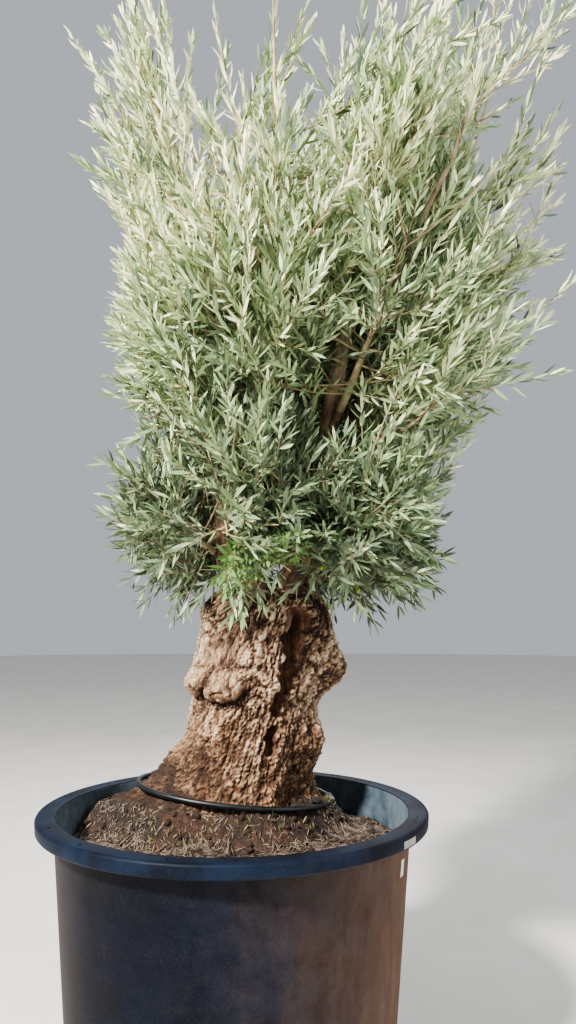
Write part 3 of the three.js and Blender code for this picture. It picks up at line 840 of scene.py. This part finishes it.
# Above 1 inside the crown, where the masses' own measures melt together, less so high up.
def belonging(points):
    x, y, height = np.moveaxis(np.asarray(points), -1, 0)
    field = np.exp(2 * (1 - measured(points) ** 2)).sum(axis=-1)
    deep = smooth((np.abs(y - 0.11) - 0.3) / 0.35)
    field = field / (1 + 2.2 * deep * smooth((height - 3.0) / 0.7))
    outline = crownOutline
    left, right = (np.interp(height, outline["heights"], outline[side]) for side in ("left", "right"))
    past = np.maximum(left - x, x - right)
    field = field / (1 + 3.5 * smooth(past / outline["fade"]))
    waist = 1 + 0.7 * peak(height, 2.62, 0.2) + 0.6 * smooth((2.1 - height) / 0.35)
    return field / mix(1.12, 1.6, smooth((height - 2.5) / 0.7)) / waist


def insideBox(points):
    low, high = np.array(cadBox[0]) + growth["boxMargin"], np.array(cadBox[1]) - growth["boxMargin"]
    return ((points > low) & (points < high)).all(axis=-1)


# The share left bare round a place high up, where the crown is thin.
def thinShare(place):
    x, y, height = place
    low = np.interp(x, thinning["right"], thinning["from"]) + thinning["slope"] * min(y, 0.1)
    return np.interp(x, thinning["right"], thinning["share"]) * smooth((height - low) / thinning["fade"])


# The share left bare along a path in the bare zones.
def bareShare(path):
    points = np.concatenate([path[1:], (path[1:] + path[:-1]) / 2])
    share = 0.0
    for start, end, radius, bare in bareZones:
        start, run = np.array(start), np.array(end) - np.array(start)
        t = np.clip(((points - start) @ run) / (run @ run), 0, 1)
        if (np.linalg.norm(points - start - t[:, None] * run, axis=1) < radius).any():
            share = max(share, bare)
    return share


# A limb goes out to each direction's plume, and boughs leave it for the masses below
wood = {}
for side, (turn, root, _) in directions.items():
    *lower, plume = (mass for mass in masses if mass["side"] == side)
    way = [crownPoint(turn, out, height) for height, out in crown["limbOut"]]
    curve = bentCurve(way + [mix(way[-1], plume["heart"], crown["woodShare"])])
    wood[f"limb_{side}"] = plume["carrier"] = {"curve": curve, "root": root, "tip": crown["limbTip"]}
    for mass in lower:
        start, ahead = along(curve, mass["tier"]["leaves"])
        end = mix(start, mass["heart"], crown["woodShare"])
        bend = mix(start, end, 0.5) + ahead * np.linalg.norm(end - start) * crown["boughBend"]
        bough = {"root": mass["tier"]["boughRoot"], "tip": crown["boughTip"]}
        wood[f"bough_{mass['name']}"] = mass["carrier"] = bough | {"curve": bentCurve([start, bend, end])}

for bough in bareBoughs:
    bough["curve"] = bentCurve(bough["points"])

woodMiddles = np.concatenate([w["curve"][::2] for w in wood.values()])
woodRadii = np.concatenate([np.linspace(w["root"], w["tip"], 60)[::2] for w in wood.values()])


def clearOfWood(points):
    far = np.linalg.norm(points[:, None] - woodMiddles, axis=-1) > woodRadii + growth["clearance"]
    top = trunk["heights"][-1]
    beside = outsideTrunk(points[:, 0], points[:, 1], np.minimum(points[:, 2], top)) > 0.02
    return far.all(axis=1) & (beside | (points[:, 2] > top + 0.02))


# All limbs and boughs as one mesh of tapering, slightly gnarled tubes with a flare at each root.
def makeLimbs(material):
    parts, levels = [], []
    for index, w in enumerate([*wood.values(), *bareBoughs]):
        thick = w["root"] > 0.03
        steps, sides = (70, 22) if thick else (40, 12)
        way = w["curve"][::6]
        if thick:
            way = np.concatenate([[crown["limbHeart"]], way])
        curve = bentCurve(way, steps)
        share = np.linspace(0, 1, steps)
        radius = mix(w["root"], w["tip"], share) * (1 + 0.45 * np.exp(-share * 16))
        points, faces, sizes = tubes(curve[None], radius, sides)
        middle = np.repeat(curve, sides, axis=0)
        rough = noiseAt(points, (26, 26, 9), (0, 0, index))
        fine = noiseAt(points, (90, 90, 40))
        swell = 1 + (0.16 * rough + 0.06 * fine) * (1.0 if thick else 0.5)
        parts.append((middle + (points - middle) * swell[:, None], faces, sizes))
        levels.append(0.55 + 0.5 * rough + 0.35 * fine)
    made = meshPiece("limbsAndBoughs", *joined(parts), [material])
    keep(made, "relief", np.concatenate(levels))
    dress(made, "limb", *wood)


makeLimbs(limbMaterial())
print("limbs made")


# Leaf tones from dark to pale: partly the leaves' own range from green-grey tops to silver undersides, partly
# painted shade and painted light as toneOf deals them out; leafYoung is the green of young leaves.
leafTones = {
    "leafDeep": "586850",
    "leafOlive": "768869",
    "leafGreen": "8ea479",
    "leafSage": "a4b98b",
    "leafSilver": "cedaab",
    "leafStraw": "f3f3c9",
    "leafYoung": "6b8c50",
}


# How much of a wanted length fits between a place and the crown's edge.
def roomAlong(start, way, wanted, limit=1.0, step=0.015):
    places = start + np.arange(step, wanted + step, step)[:, None] * way
    inside = (belonging(places) >= limit) & insideBox(places)
    stop = len(places) if inside.all() else int(np.argmin(inside))
    return min(wanted, stop * step)


def quadratic(a, b, c, steps):
    t = np.linspace(0, 1, steps)[:, None]
    return (1 - t) ** 2 * a + 2 * t * (1 - t) * b + t * t * c


# The source's stem with more twigs, and shoots in place of its sprays.
def growMass(index, mass):
    random = seeded(1000 + 77 * index)
    tier, heart, outward = mass["tier"], mass["heart"], mass["outward"]
    start, startWay = along(mass["carrier"]["curve"], 1)
    lean = unit(outward * (1 - abs(tier["rise"])) + up * tier["rise"])
    end = heart + lean * (growth["stemShare"] / measured(heart + lean)[index])
    bend = start + startWay * np.linalg.norm(end - start) * growth["stemBend"]
    stem = quadratic(start, bend, end, 24)
    twigs, shoots = [], []
    reached = 0.3  # how far along the stem there is a leafy twig

    def addShoot(origin, ahead, around, opening, thinned=1.0, limit=None):
        lift = up * mix(*tier["shootLift"], random()) + outward * 0.25 * random()
        way = unit(unit(ahead + around * opening) + lift)
        wanted = mix(*tier["shootLength"], random() ** 1.3)
        chosen = mix(*tier["ragged"], random() ** 1.2)
        if limit is not None:
            wanted, chosen = tier["shootLength"][1], limit
        length = roomAlong(origin, way, wanted, chosen)
        chance, kept = random(), random()
        if length < growth["shortestKept"]:
            return
        path = shootPath(origin, way, length, chance)
        bare = max(bareShare(path), thinned * thinShare(path[-1]))
        if kept >= bare and insideBox(path).all() and clearOfWood(path[1:]).all():
            shoots.append((path, length))

    for i in range(tier["twigs"]):
        share = mix(*growth["twigPlaces"], i / (tier["twigs"] - 1))
        origin, axis = along(stem, share)
        opening = math.radians(mix(*tier["twigOpening"], share))
        side = sideways(axis, i * goldenTurn + random() * growth["twigWander"])
        way = axis * math.cos(opening) + side * math.sin(opening)
        shortest, longest = tier["twigLength"]
        room = roomAlong(origin, way, longest + 0.3)
        length = min(max(room - 0.12, shortest), longest * mix(0.75, 1.0, random()))
        tip = origin + unit(way + lean * growth["twigLift"]) * length
        twig = quadratic(origin, origin + way * length / 2, tip, 9)
        thin = thinShare(twig[-1])
        if not insideBox(twig).all() or random() < max(bareShare(twig[2:]) - 0.05, thin):
            continue
        thinned = mix(1.0, growth["thinOnTwig"], smooth(thin / 0.4))
        before = len(shoots)
        count = max(4, round(tier["shoots"] * (0.4 + length / longest)))
        for k in range(count):
            place, ahead = along(twig, mix(0.1, 1.0, (k + 0.5 * random()) / count))
            around = sideways(ahead, (i + k) * goldenTurn * 2 + random())
            addShoot(place, ahead, around, mix(*growth["shootOpening"], random()), thinned)
        place, ahead = along(twig, 1)
        addShoot(place, ahead, sideways(ahead, random() * math.tau), 0.1, thinned)
        if i % tier["leaders"] == 0:
            addShoot(place, unit(ahead + lean), sideways(ahead, random() * math.tau), 0.15, thinned, 0.5)
        if len(shoots) > before:
            twigs.append(twig)
            reached = max(reached, share)
    last = growth["shootsOnStem"] - 1
    for k in range(last + 1):
        place, ahead = along(stem, mix(0.2, reached, k / last))
        addShoot(place, ahead, sideways(ahead, k * goldenTurn + random()), 0.1 if k == last else 0.8)
    return stem[:int(reached * (len(stem) - 1)) + 2], twigs, shoots


# Shoots near the tip of a bough that is otherwise bare.
def growBareBough(bough):
    random = seeded(77)
    shoots = []
    for k in range(bough["shoots"]):
        place, ahead = along(bough["curve"], mix(bough["leavesFrom"], 1.0, k / (bough["shoots"] - 1)))
        way = unit(ahead + sideways(ahead, k * goldenTurn * 2) * 0.6 + up * 0.4)
        length = mix(0.16, 0.32, random())
        path = shootPath(place, way, length, random())
        if insideBox(path).all():
            shoots.append((path, length))
    return shoots


# A shoot that bends gently, upwards or over.
def shootPath(origin, way, length, chance, steps=5):
    bow = sideways(way, chance * math.tau) * 0.1 + up * mix(-0.14, 0.16, chance)
    t = np.linspace(0, 1, steps)[:, None]
    return origin + way * t * length + bow * (t ** 2) * length


# Leaves in opposite pairs along a shoot: base, direction, width axis and length of each.
def leavesOn(path, length, opening, rng):
    pairs = max(3, int(length * 0.92 / growth["leafStep"]))
    tip = np.append(np.repeat(np.linspace(0.08, 0.98, pairs), 2), 1.0)
    base, ahead = along(path, tip)
    count = len(tip)
    number = np.arange(count)
    turn = (number // 2) * math.pi / 2 + (number % 2) * math.pi
    turn = turn + rng.normal(0, 0.35, count) + rng.random() * 6
    around = sideways(ahead, turn)
    spread = np.radians(mix(*opening, tip) + rng.normal(0, 9, count))
    spread[-1] = 0.08
    way = ahead * np.cos(spread)[:, None] + around * np.sin(spread)[:, None]
    across = turnAround(unit(np.cross(ahead, around)), way, rng.normal(0, 0.55, count))
    size = mix(*growth["leafLength"], rng.random(count)) * (0.7 + 0.36 * np.sin(np.clip(tip, 0.05, 1) * 2.5))
    return base, way, across, size


leafShape = {
    "outline": [(0.0, 0.0), (0.32, 0.95), (0.32, -0.95), (0.68, 0.88), (0.68, -0.88), (1.0, 0.0)],
    "faces": [[0, 2, 1], [1, 2, 4], [1, 4, 3], [3, 4, 5]],
    "curl": 0.05,
    "youngMiddle": np.array([0.052, -0.3, 1.494]),  # young green leaves grow round here
    "youngReach": 0.17,
    "youngShare": 0.5,
}


def leafMesh(base, way, across, size, rng):
    curl = rng.normal(0.0, leafShape["curl"], len(base)) * size * 4
    run, aside = way * size[:, None], across * (size * growth["leafWidth"] / 2)[:, None]
    bow = np.cross(across, way) * curl[:, None]
    return blades(base, run, aside, bow, leafShape["outline"], leafShape["faces"])


# The leaf colour of a spray: painted light makes it paler high up and outside, painted shade makes it darker
# and greener low, within the crown and at the right; young green here and there.
def toneOf(place, rng):
    depth = float(np.clip((belonging(place) - 1.2) / 4.5, 0, 1))
    cloud = noise.noise(Vector(place * 2.2))
    light = 0.53 * smooth((place[2] - 1.6) / 1.15) + 0.5 * (1 - depth) + 0.22 * cloud + rng.normal(0, 0.15)
    light = light * mix(0.72, 1, smooth((place[2] - 1.6) / 0.6)) - 0.07 * smooth((place[0] - 0.6) / 0.4)
    tone = int(np.clip(round(light * 5.2 - 0.5), 0, 5))
    young = np.linalg.norm(place - leafShape["youngMiddle"]) < leafShape["youngReach"]
    return 6 if young and rng.random() < leafShape["youngShare"] else tone


# Sets of (paths, radius at the root, radius at the tip, sides) as one piece.
def makeWood(name, sets, material):
    parts = [tubes(np.array(paths), np.linspace(root, tip, len(paths[0])), sides)
             for paths, root, tip, sides in sets]
    dress(meshPiece(name, *joined(parts), [material]), "limb")


# Stems, twigs, shoots and leaves, tier by tier. Leaves shift a little from the tone of their shoot.
def growCrown():
    rng = np.random.default_rng(7)
    materials = [Shader(name, colour, 0.45, Specular_IOR_Level=0.5).material
                 for name, colour in leafTones.items()]
    stems, twigs, shoots = [], [], []
    for tier in tiers:
        bare = (bough for bough in bareBoughs if bough["tier"] == tier["name"])
        grown = [shoot for bough in bare for shoot in growBareBough(bough)]
        for index, mass in enumerate(masses):
            if mass["tier"] is tier:
                stem, massTwigs, massShoots = growMass(index, mass)
                stems.append(bentCurve([mass["carrier"]["curve"][-9], *stem[:-1:2], stem[-1]], 18))
                twigs.extend(massTwigs)
                grown.extend(massShoots)
        parts = []
        for path, length in grown:
            shoots.append(path)
            leaves = leavesOn(path, length, tier["leafOpening"], rng)
            count = len(leaves[0])
            tone = toneOf(path[3], rng)
            shift = rng.integers(-4 if tone > 3 else -2, 3, count) * (rng.random(count) < 0.45)
            tones = np.full(count, 6) if tone == 6 else np.clip(tone + shift, 0, 5)
            parts.append((*leaves, tones))
        *leaves, tones = (np.concatenate(column) for column in zip(*parts))
        names = [m["name"] for m in masses if m["tier"] is tier]
        pieces = math.ceil(len(tones) / growth["leavesInPiece"])
        for k, some in enumerate(np.array_split(np.arange(len(tones)), pieces)):
            shape = leafMesh(*(values[some] for values in leaves), rng)
            made = meshPiece(f"leaves_{tier['name']}_{k + 1}", *shape, materials, np.repeat(tones[some], 4))
            dress(made, "foliage", *names)
        print(tier["name"], "leaves", len(tones), "pieces", pieces)
    bark, root, tip = twigMaterial(), growth["twigRoot"], growth["twigTip"]
    makeWood("twigs", [(stems, growth["stemRoot"], tip, 8), (twigs, root, tip, 4)], bark)
    makeWood("shoots", [(shoots, growth["shootRoot"], growth["shootTip"], 3)], bark)
    print("twigs", len(twigs), "shoots", len(shoots))
    return shoots


olives = {"count": 70, "radius": 0.0075, "long": 1.35, "drop": 0.012}


# Small green fruit, each just under a shoot.
def makeOlives(shoots):
    rng = np.random.default_rng(11)
    bm = bmesh.new()
    for i in rng.choice(len(shoots), olives["count"], replace=False):
        place = Vector(shoots[i][2]) - Vector((0, 0, olives["drop"]))
        matrix = Matrix.LocRotScale(place, Euler(rng.normal(0, 0.4, 3)), Vector((1, 1, olives["long"])))
        bmesh.ops.create_icosphere(bm, subdivisions=1, radius=olives["radius"], matrix=matrix)
    dress(bmeshPiece("olives", bm, plainMaterial("greenOlive", "8ca63a", "a9bd52", 40, 0.35)), "foliage")


makeOlives(growCrown())
print("crown made")


# The soil is a mound that meets the trunk's foot

soilShape = {
    "edge": 0.69,  # its height at the tub's wall
    "slope": 0.13,
    "outer": 0.5285,
    "foot": 0.465,
    "floor": 0.02,
    "rings": 90,
    "segments": 200,
    "lumps": [(0.009, 9, 0.3), (0.006, 34, 2.1), (0.0034, 80, 5.0)],  # size, scale, shift
}


# The mound with its lumps, for points as arrays.
def soilSurface(x, y):
    s, flat, far = soilShape, columns(x, y, 0), outsideTrunk(x, y)
    rough = sum(size * noiseAt(flat, scale, (0, 0, shift)) for size, scale, shift in s["lumps"])
    height = s["edge"] + (trunk["foot"] - 0.0003 - s["edge"]) * smooth((s["slope"] - far) / s["slope"])
    return height + rough + smooth(1 - far / 0.075) * (0.016 + 1.2 * rough)


# A flat filling spun round the middle, its upper points then raised to the mound.
def makeSoil(material):
    s = soilShape
    line = [(radius, s["edge"]) for radius in np.linspace(0, s["outer"], s["rings"])]
    line += [(s["foot"], s["floor"]), (0, s["floor"])]
    made = bmeshPiece("drySoil", spun(line, s["segments"]), material)
    x, y, height = placesOf(made).T
    mound = soilSurface(x, y)
    under = outsideTrunk(x, y) < -0.03
    mound = np.where(under, np.minimum(mound, trunk["foot"] - 0.01), mound)
    movePoints(made, columns(x, y, np.where(height > s["floor"] + 0.1, mound, height)))
    dress(made, "soil", "soil")


# Places on the soil outside the trunk.
def scatterPlaces(count, rng, closest=0.01):
    found = np.empty((0, 2))
    while len(found) < count:
        r = np.sqrt(rng.random(count)) * (soilShape["outer"] - 0.012)
        t = rng.random(count) * math.tau
        some = columns(r * np.cos(t), r * np.sin(t))
        found = np.concatenate([found, some[outsideTrunk(*some.T) > closest]])
    return found[:count]


litter = {
    "count": 36000,
    "kinds": [  # straw and dry leaves: name, dark and light tone, share, length, half width
        ("strawPale", "6f6153", "a1907c", 0.36, 0.036, 0.001),
        ("strawBrown", "33271f", "5a4738", 0.46, 0.034, 0.0011),
        ("leafDry", "4b4138", "766a5d", 0.18, 0.04, 0.0032),
    ],
    "outline": [(0.0, 0.4), (0.0, -0.4), (0.5, 1.0), (0.5, -1.0), (1.0, 0.25), (1.0, -0.25)],
    "faces": [[0, 1, 3, 2], [2, 3, 5, 4]],
    "bow": 0.1,
    "step": 0.006,  # over which the mound's slope is taken
}


# Strands strewn flat on the mound, in patches, with fewer on its slopes.
def makeLitter():
    rng = np.random.default_rng(3)
    kinds, count = litter["kinds"], litter["count"]
    tones = [plainMaterial(name, low, high, 30, 0.82) for name, low, high, *_ in kinds]
    shares, lengths, halves = np.array([kind[3:] for kind in kinds]).T
    spot = scatterPlaces(count, rng)
    turn = rng.random(count) * math.tau
    kind = rng.choice(3, count, p=shares)
    size = lengths[kind] * (0.4 + rng.random(count))
    (x, y), step = spot.T, litter["step"]
    steepX, steepY = ((soilSurface(x + a, y + b) - soilSurface(x - a, y - b)) / (2 * step)
                      for a, b in ((step, 0), (0, step)))
    steep = smooth(np.hypot(steepX, steepY) / 0.9)
    size = size * (1 - 0.5 * steep)
    ends = spot + columns(np.cos(turn), np.sin(turn)) * size[:, None]
    patch = noiseAt(columns(x, y, 0), 8, (0, 0, 7.7))
    kept = rng.random(count) < (0.7 + 1.4 * patch) * (1 - 0.75 * steep)
    kept &= np.hypot(*ends.T) < soilShape["outer"] - 0.004
    kept &= outsideTrunk(*ends.T) > 0
    spot, ends, kind, size, steepX, steepY = (v[kept] for v in (spot, ends, kind, size, steepX, steepY))
    base, tips = (columns(*flat.T, soilSurface(*flat.T) + 0.001 + rng.random(len(flat)) * 0.006)
                  for flat in (spot, ends))
    way = unit(tips - base)
    square = unit(columns(-steepX, -steepY, 1.0))
    across = unit(np.cross(way, square) + rng.normal(0, 0.25, way.shape))
    bow = np.cross(across, way) * (litter["bow"] * size)[:, None]
    shape = blades(base, way * size[:, None], across * halves[kind][:, None], bow, litter["outline"],
                   litter["faces"])
    dress(meshPiece("strawLitter", *shape, tones, np.repeat(kind, 2)), "soil")


# Small lumps of soil that lie loose on the mound.
def makeClods(material):
    rng = np.random.default_rng(5)
    bm = bmesh.new()
    for x, y in scatterPlaces(900, rng, 0.005):
        size = 0.003 + 0.01 * rng.random() ** 3
        made = bmesh.ops.create_icosphere(bm, subdivisions=1, radius=size)
        for v in made["verts"]:
            v.co *= 0.75 + 0.5 * rng.random()
        z = float(soilSurface(np.array([x]), np.array([y]))[0])
        bmesh.ops.translate(bm, verts=made["verts"], vec=(x, y, z + size * 0.25))
    dress(bmeshPiece("soilClods", bm, material), "soil")


weeds = {
    "tufts": [(-0.27, -0.01), (-0.24, -0.05), (-0.19, -0.06), (-0.15, -0.1), (-0.1, -0.08), (0.04, -0.07),
              (0.13, -0.06), (0.24, 0.0), (0.31, 0.12), (-0.33, 0.3), (0.1, 0.46), (-0.16, 0.45),
              (0.3, 0.36)],
    "blades": 16,
    "spread": 0.014,
    "length": (0.01, 0.03),
}


# Tufts of short grass blades on the mound.
def makeWeeds():
    rng = np.random.default_rng(9)
    spot = np.repeat(np.array(weeds["tufts"]), weeds["blades"], axis=0)
    spot = spot + rng.normal(0, weeds["spread"], spot.shape)
    spot = spot[outsideTrunk(*spot.T) > 0.004]
    count = len(spot)
    base = columns(*spot.T, soilSurface(*spot.T) - 0.002)
    way = unit(rng.normal(0, 0.5, (count, 3)) * [1, 1, 0] + [0, -0.15, 1])
    across = unit(np.cross(way, rng.normal(0, 1, (count, 3))))
    shape = leafMesh(base, way, across, mix(*weeds["length"], rng.random(count)), rng)
    materials = [plainMaterial("weedGreen", "4f5a34", "68723f", 30, 0.6),
                 plainMaterial("weedDry", "7d7350", "998e66", 30, 0.7)]
    dress(meshPiece("weeds", *shape, materials, np.repeat(rng.integers(0, 2, count), 4)), "soil")


soilSkin = soilMaterial()
makeSoil(soilSkin)
makeLitter()
makeClods(soilSkin)
makeWeeds()
print("soil made")


# A hoop of drip pipe lies round the trunk's foot

pipe = {
    "radius": 0.009,
    "middle": (0, 0.208, 0.803),
    "half": (0.326, 0.258),
    "tilt": 0.034,
    "joiner": [(0, 0.0115, 0.058), (-0.024, 0.013, 0.008), (-0.01, 0.013, 0.006), (0.01, 0.013, 0.006),
               (0.024, 0.013, 0.008)],  # its barrel and ribs: place along it, radius, length
}


# A ring spun with a radius of 1 and laid along its oval, with a ribbed joiner at its right.
def makePipe():
    (x, y, height), (halfX, halfY), tilt = pipe["middle"], pipe["half"], pipe["tilt"]
    quarter = Euler((math.pi / 2, 0, 0))
    bm = bmesh.new()
    bmesh.ops.create_circle(bm, segments=14, radius=pipe["radius"],
                            matrix=Matrix.LocRotScale(Vector((1, 0, 0)), quarter, None))
    hoop = bmeshPiece("dripPipe", spin(bm, 180), plainMaterial("pipePlastic", "101214", "1d2023", 30, 0.4))
    right, deep, above = placesOf(hoop).T
    turn, beside = np.arctan2(deep, right), np.hypot(right, deep) - 1
    cos, sin = np.cos(turn), np.sin(turn)
    middle = columns(x + halfX * cos, y + halfY * sin, height - tilt * cos)
    outward = unit(columns(cos / halfX, sin / halfY, 0))
    upward = np.cross(outward, unit(columns(-halfX * sin, halfY * cos, tilt * sin)))
    movePoints(hoop, middle + outward * beside[:, None] + upward * above[:, None])
    dress(hoop, "pipe", "drip_pipe")
    bm = bmesh.new()
    for shift, radius, depth in pipe["joiner"]:
        place = Vector((x + halfX, y + shift, height - tilt))
        bmesh.ops.create_cone(bm, cap_ends=True, segments=24, radius1=radius, radius2=radius, depth=depth,
                              matrix=Matrix.LocRotScale(place, quarter, None))
    joiner = bmeshPiece("pipeJoiner", bm, plainMaterial("joinerPlastic", "5a5d60", "77797b", 30, 0.5))
    joiner.data.set_sharp_from_angle(angle=math.radians(40))
    dress(joiner, "pipe")


makePipe()
print("pipe made")


view = {
    "place": (0, -2.529, 1.374),
    "pitch": 7.99,  # degrees above the horizon
    "yaw": 3.782,  # degrees to the right
    "lens": 36 * 770 / 1024,  # focal length of 770 pixels on a picture 1024 pixels high
}

studio = {
    "floorRadius": 30,
    "sky": (0.86, 0.9, 0.95, 1),
    "skyStrength": 0.5,
    "look": "AgX - Medium High Contrast",
    "lights": [  # name, place, target, size, power, tint
        ("keyLight", (-4.4, -4.6, 6.0), (0.1, 0, 1.8), 1.0, 1780, (1.0, 0.955, 0.9)),
        ("fillLight", (4.5, -3.0, 3.0), (0.2, 0, 1.6), 3.5, 90, (0.93, 0.96, 1.0)),
        ("backLight", (0.5, 4.5, 5.0), (0.2, 0, 2.4), 3.0, 160, (1.0, 1.0, 1.0)),
    ],
}


def addLight(name, place, target, size, power, tint):
    light = bpy.data.lights.new(name, "AREA")
    light.shape = "DISK"
    light.size = size
    light.energy = power
    light.color = tint
    made = linked(name, light)
    made.location = place
    made.rotation_euler = (Vector(target) - Vector(place)).to_track_quat("-Z", "Y").to_euler()


def makeStage():
    scene = bpy.context.scene
    bm = bmesh.new()
    bmesh.ops.create_circle(bm, cap_ends=True, segments=96, radius=studio["floorRadius"])
    floor = bmeshPiece("studioFloor", bm, plainMaterial("paleFloor", "dedbd5", "e6e3de", 2, 0.85))
    for values in studio["lights"]:
        addLight(*values)
    scene.world = bpy.data.worlds.new("studio")
    scene.world.use_nodes = True
    sky = scene.world.node_tree.nodes["Background"]
    sky.inputs["Color"].default_value = studio["sky"]
    sky.inputs["Strength"].default_value = studio["skyStrength"]
    scene.view_settings.look = studio["look"]
    camera = linked("camera", bpy.data.cameras.new("camera"))
    camera.data.sensor_width = 36
    camera.data.sensor_fit = "AUTO"
    camera.data.lens = view["lens"]
    camera.location = view["place"]
    camera.rotation_euler = (math.radians(90 + view["pitch"]), 0, math.radians(-view["yaw"]))
    scene.camera = camera


makeStage()
print("stage made")
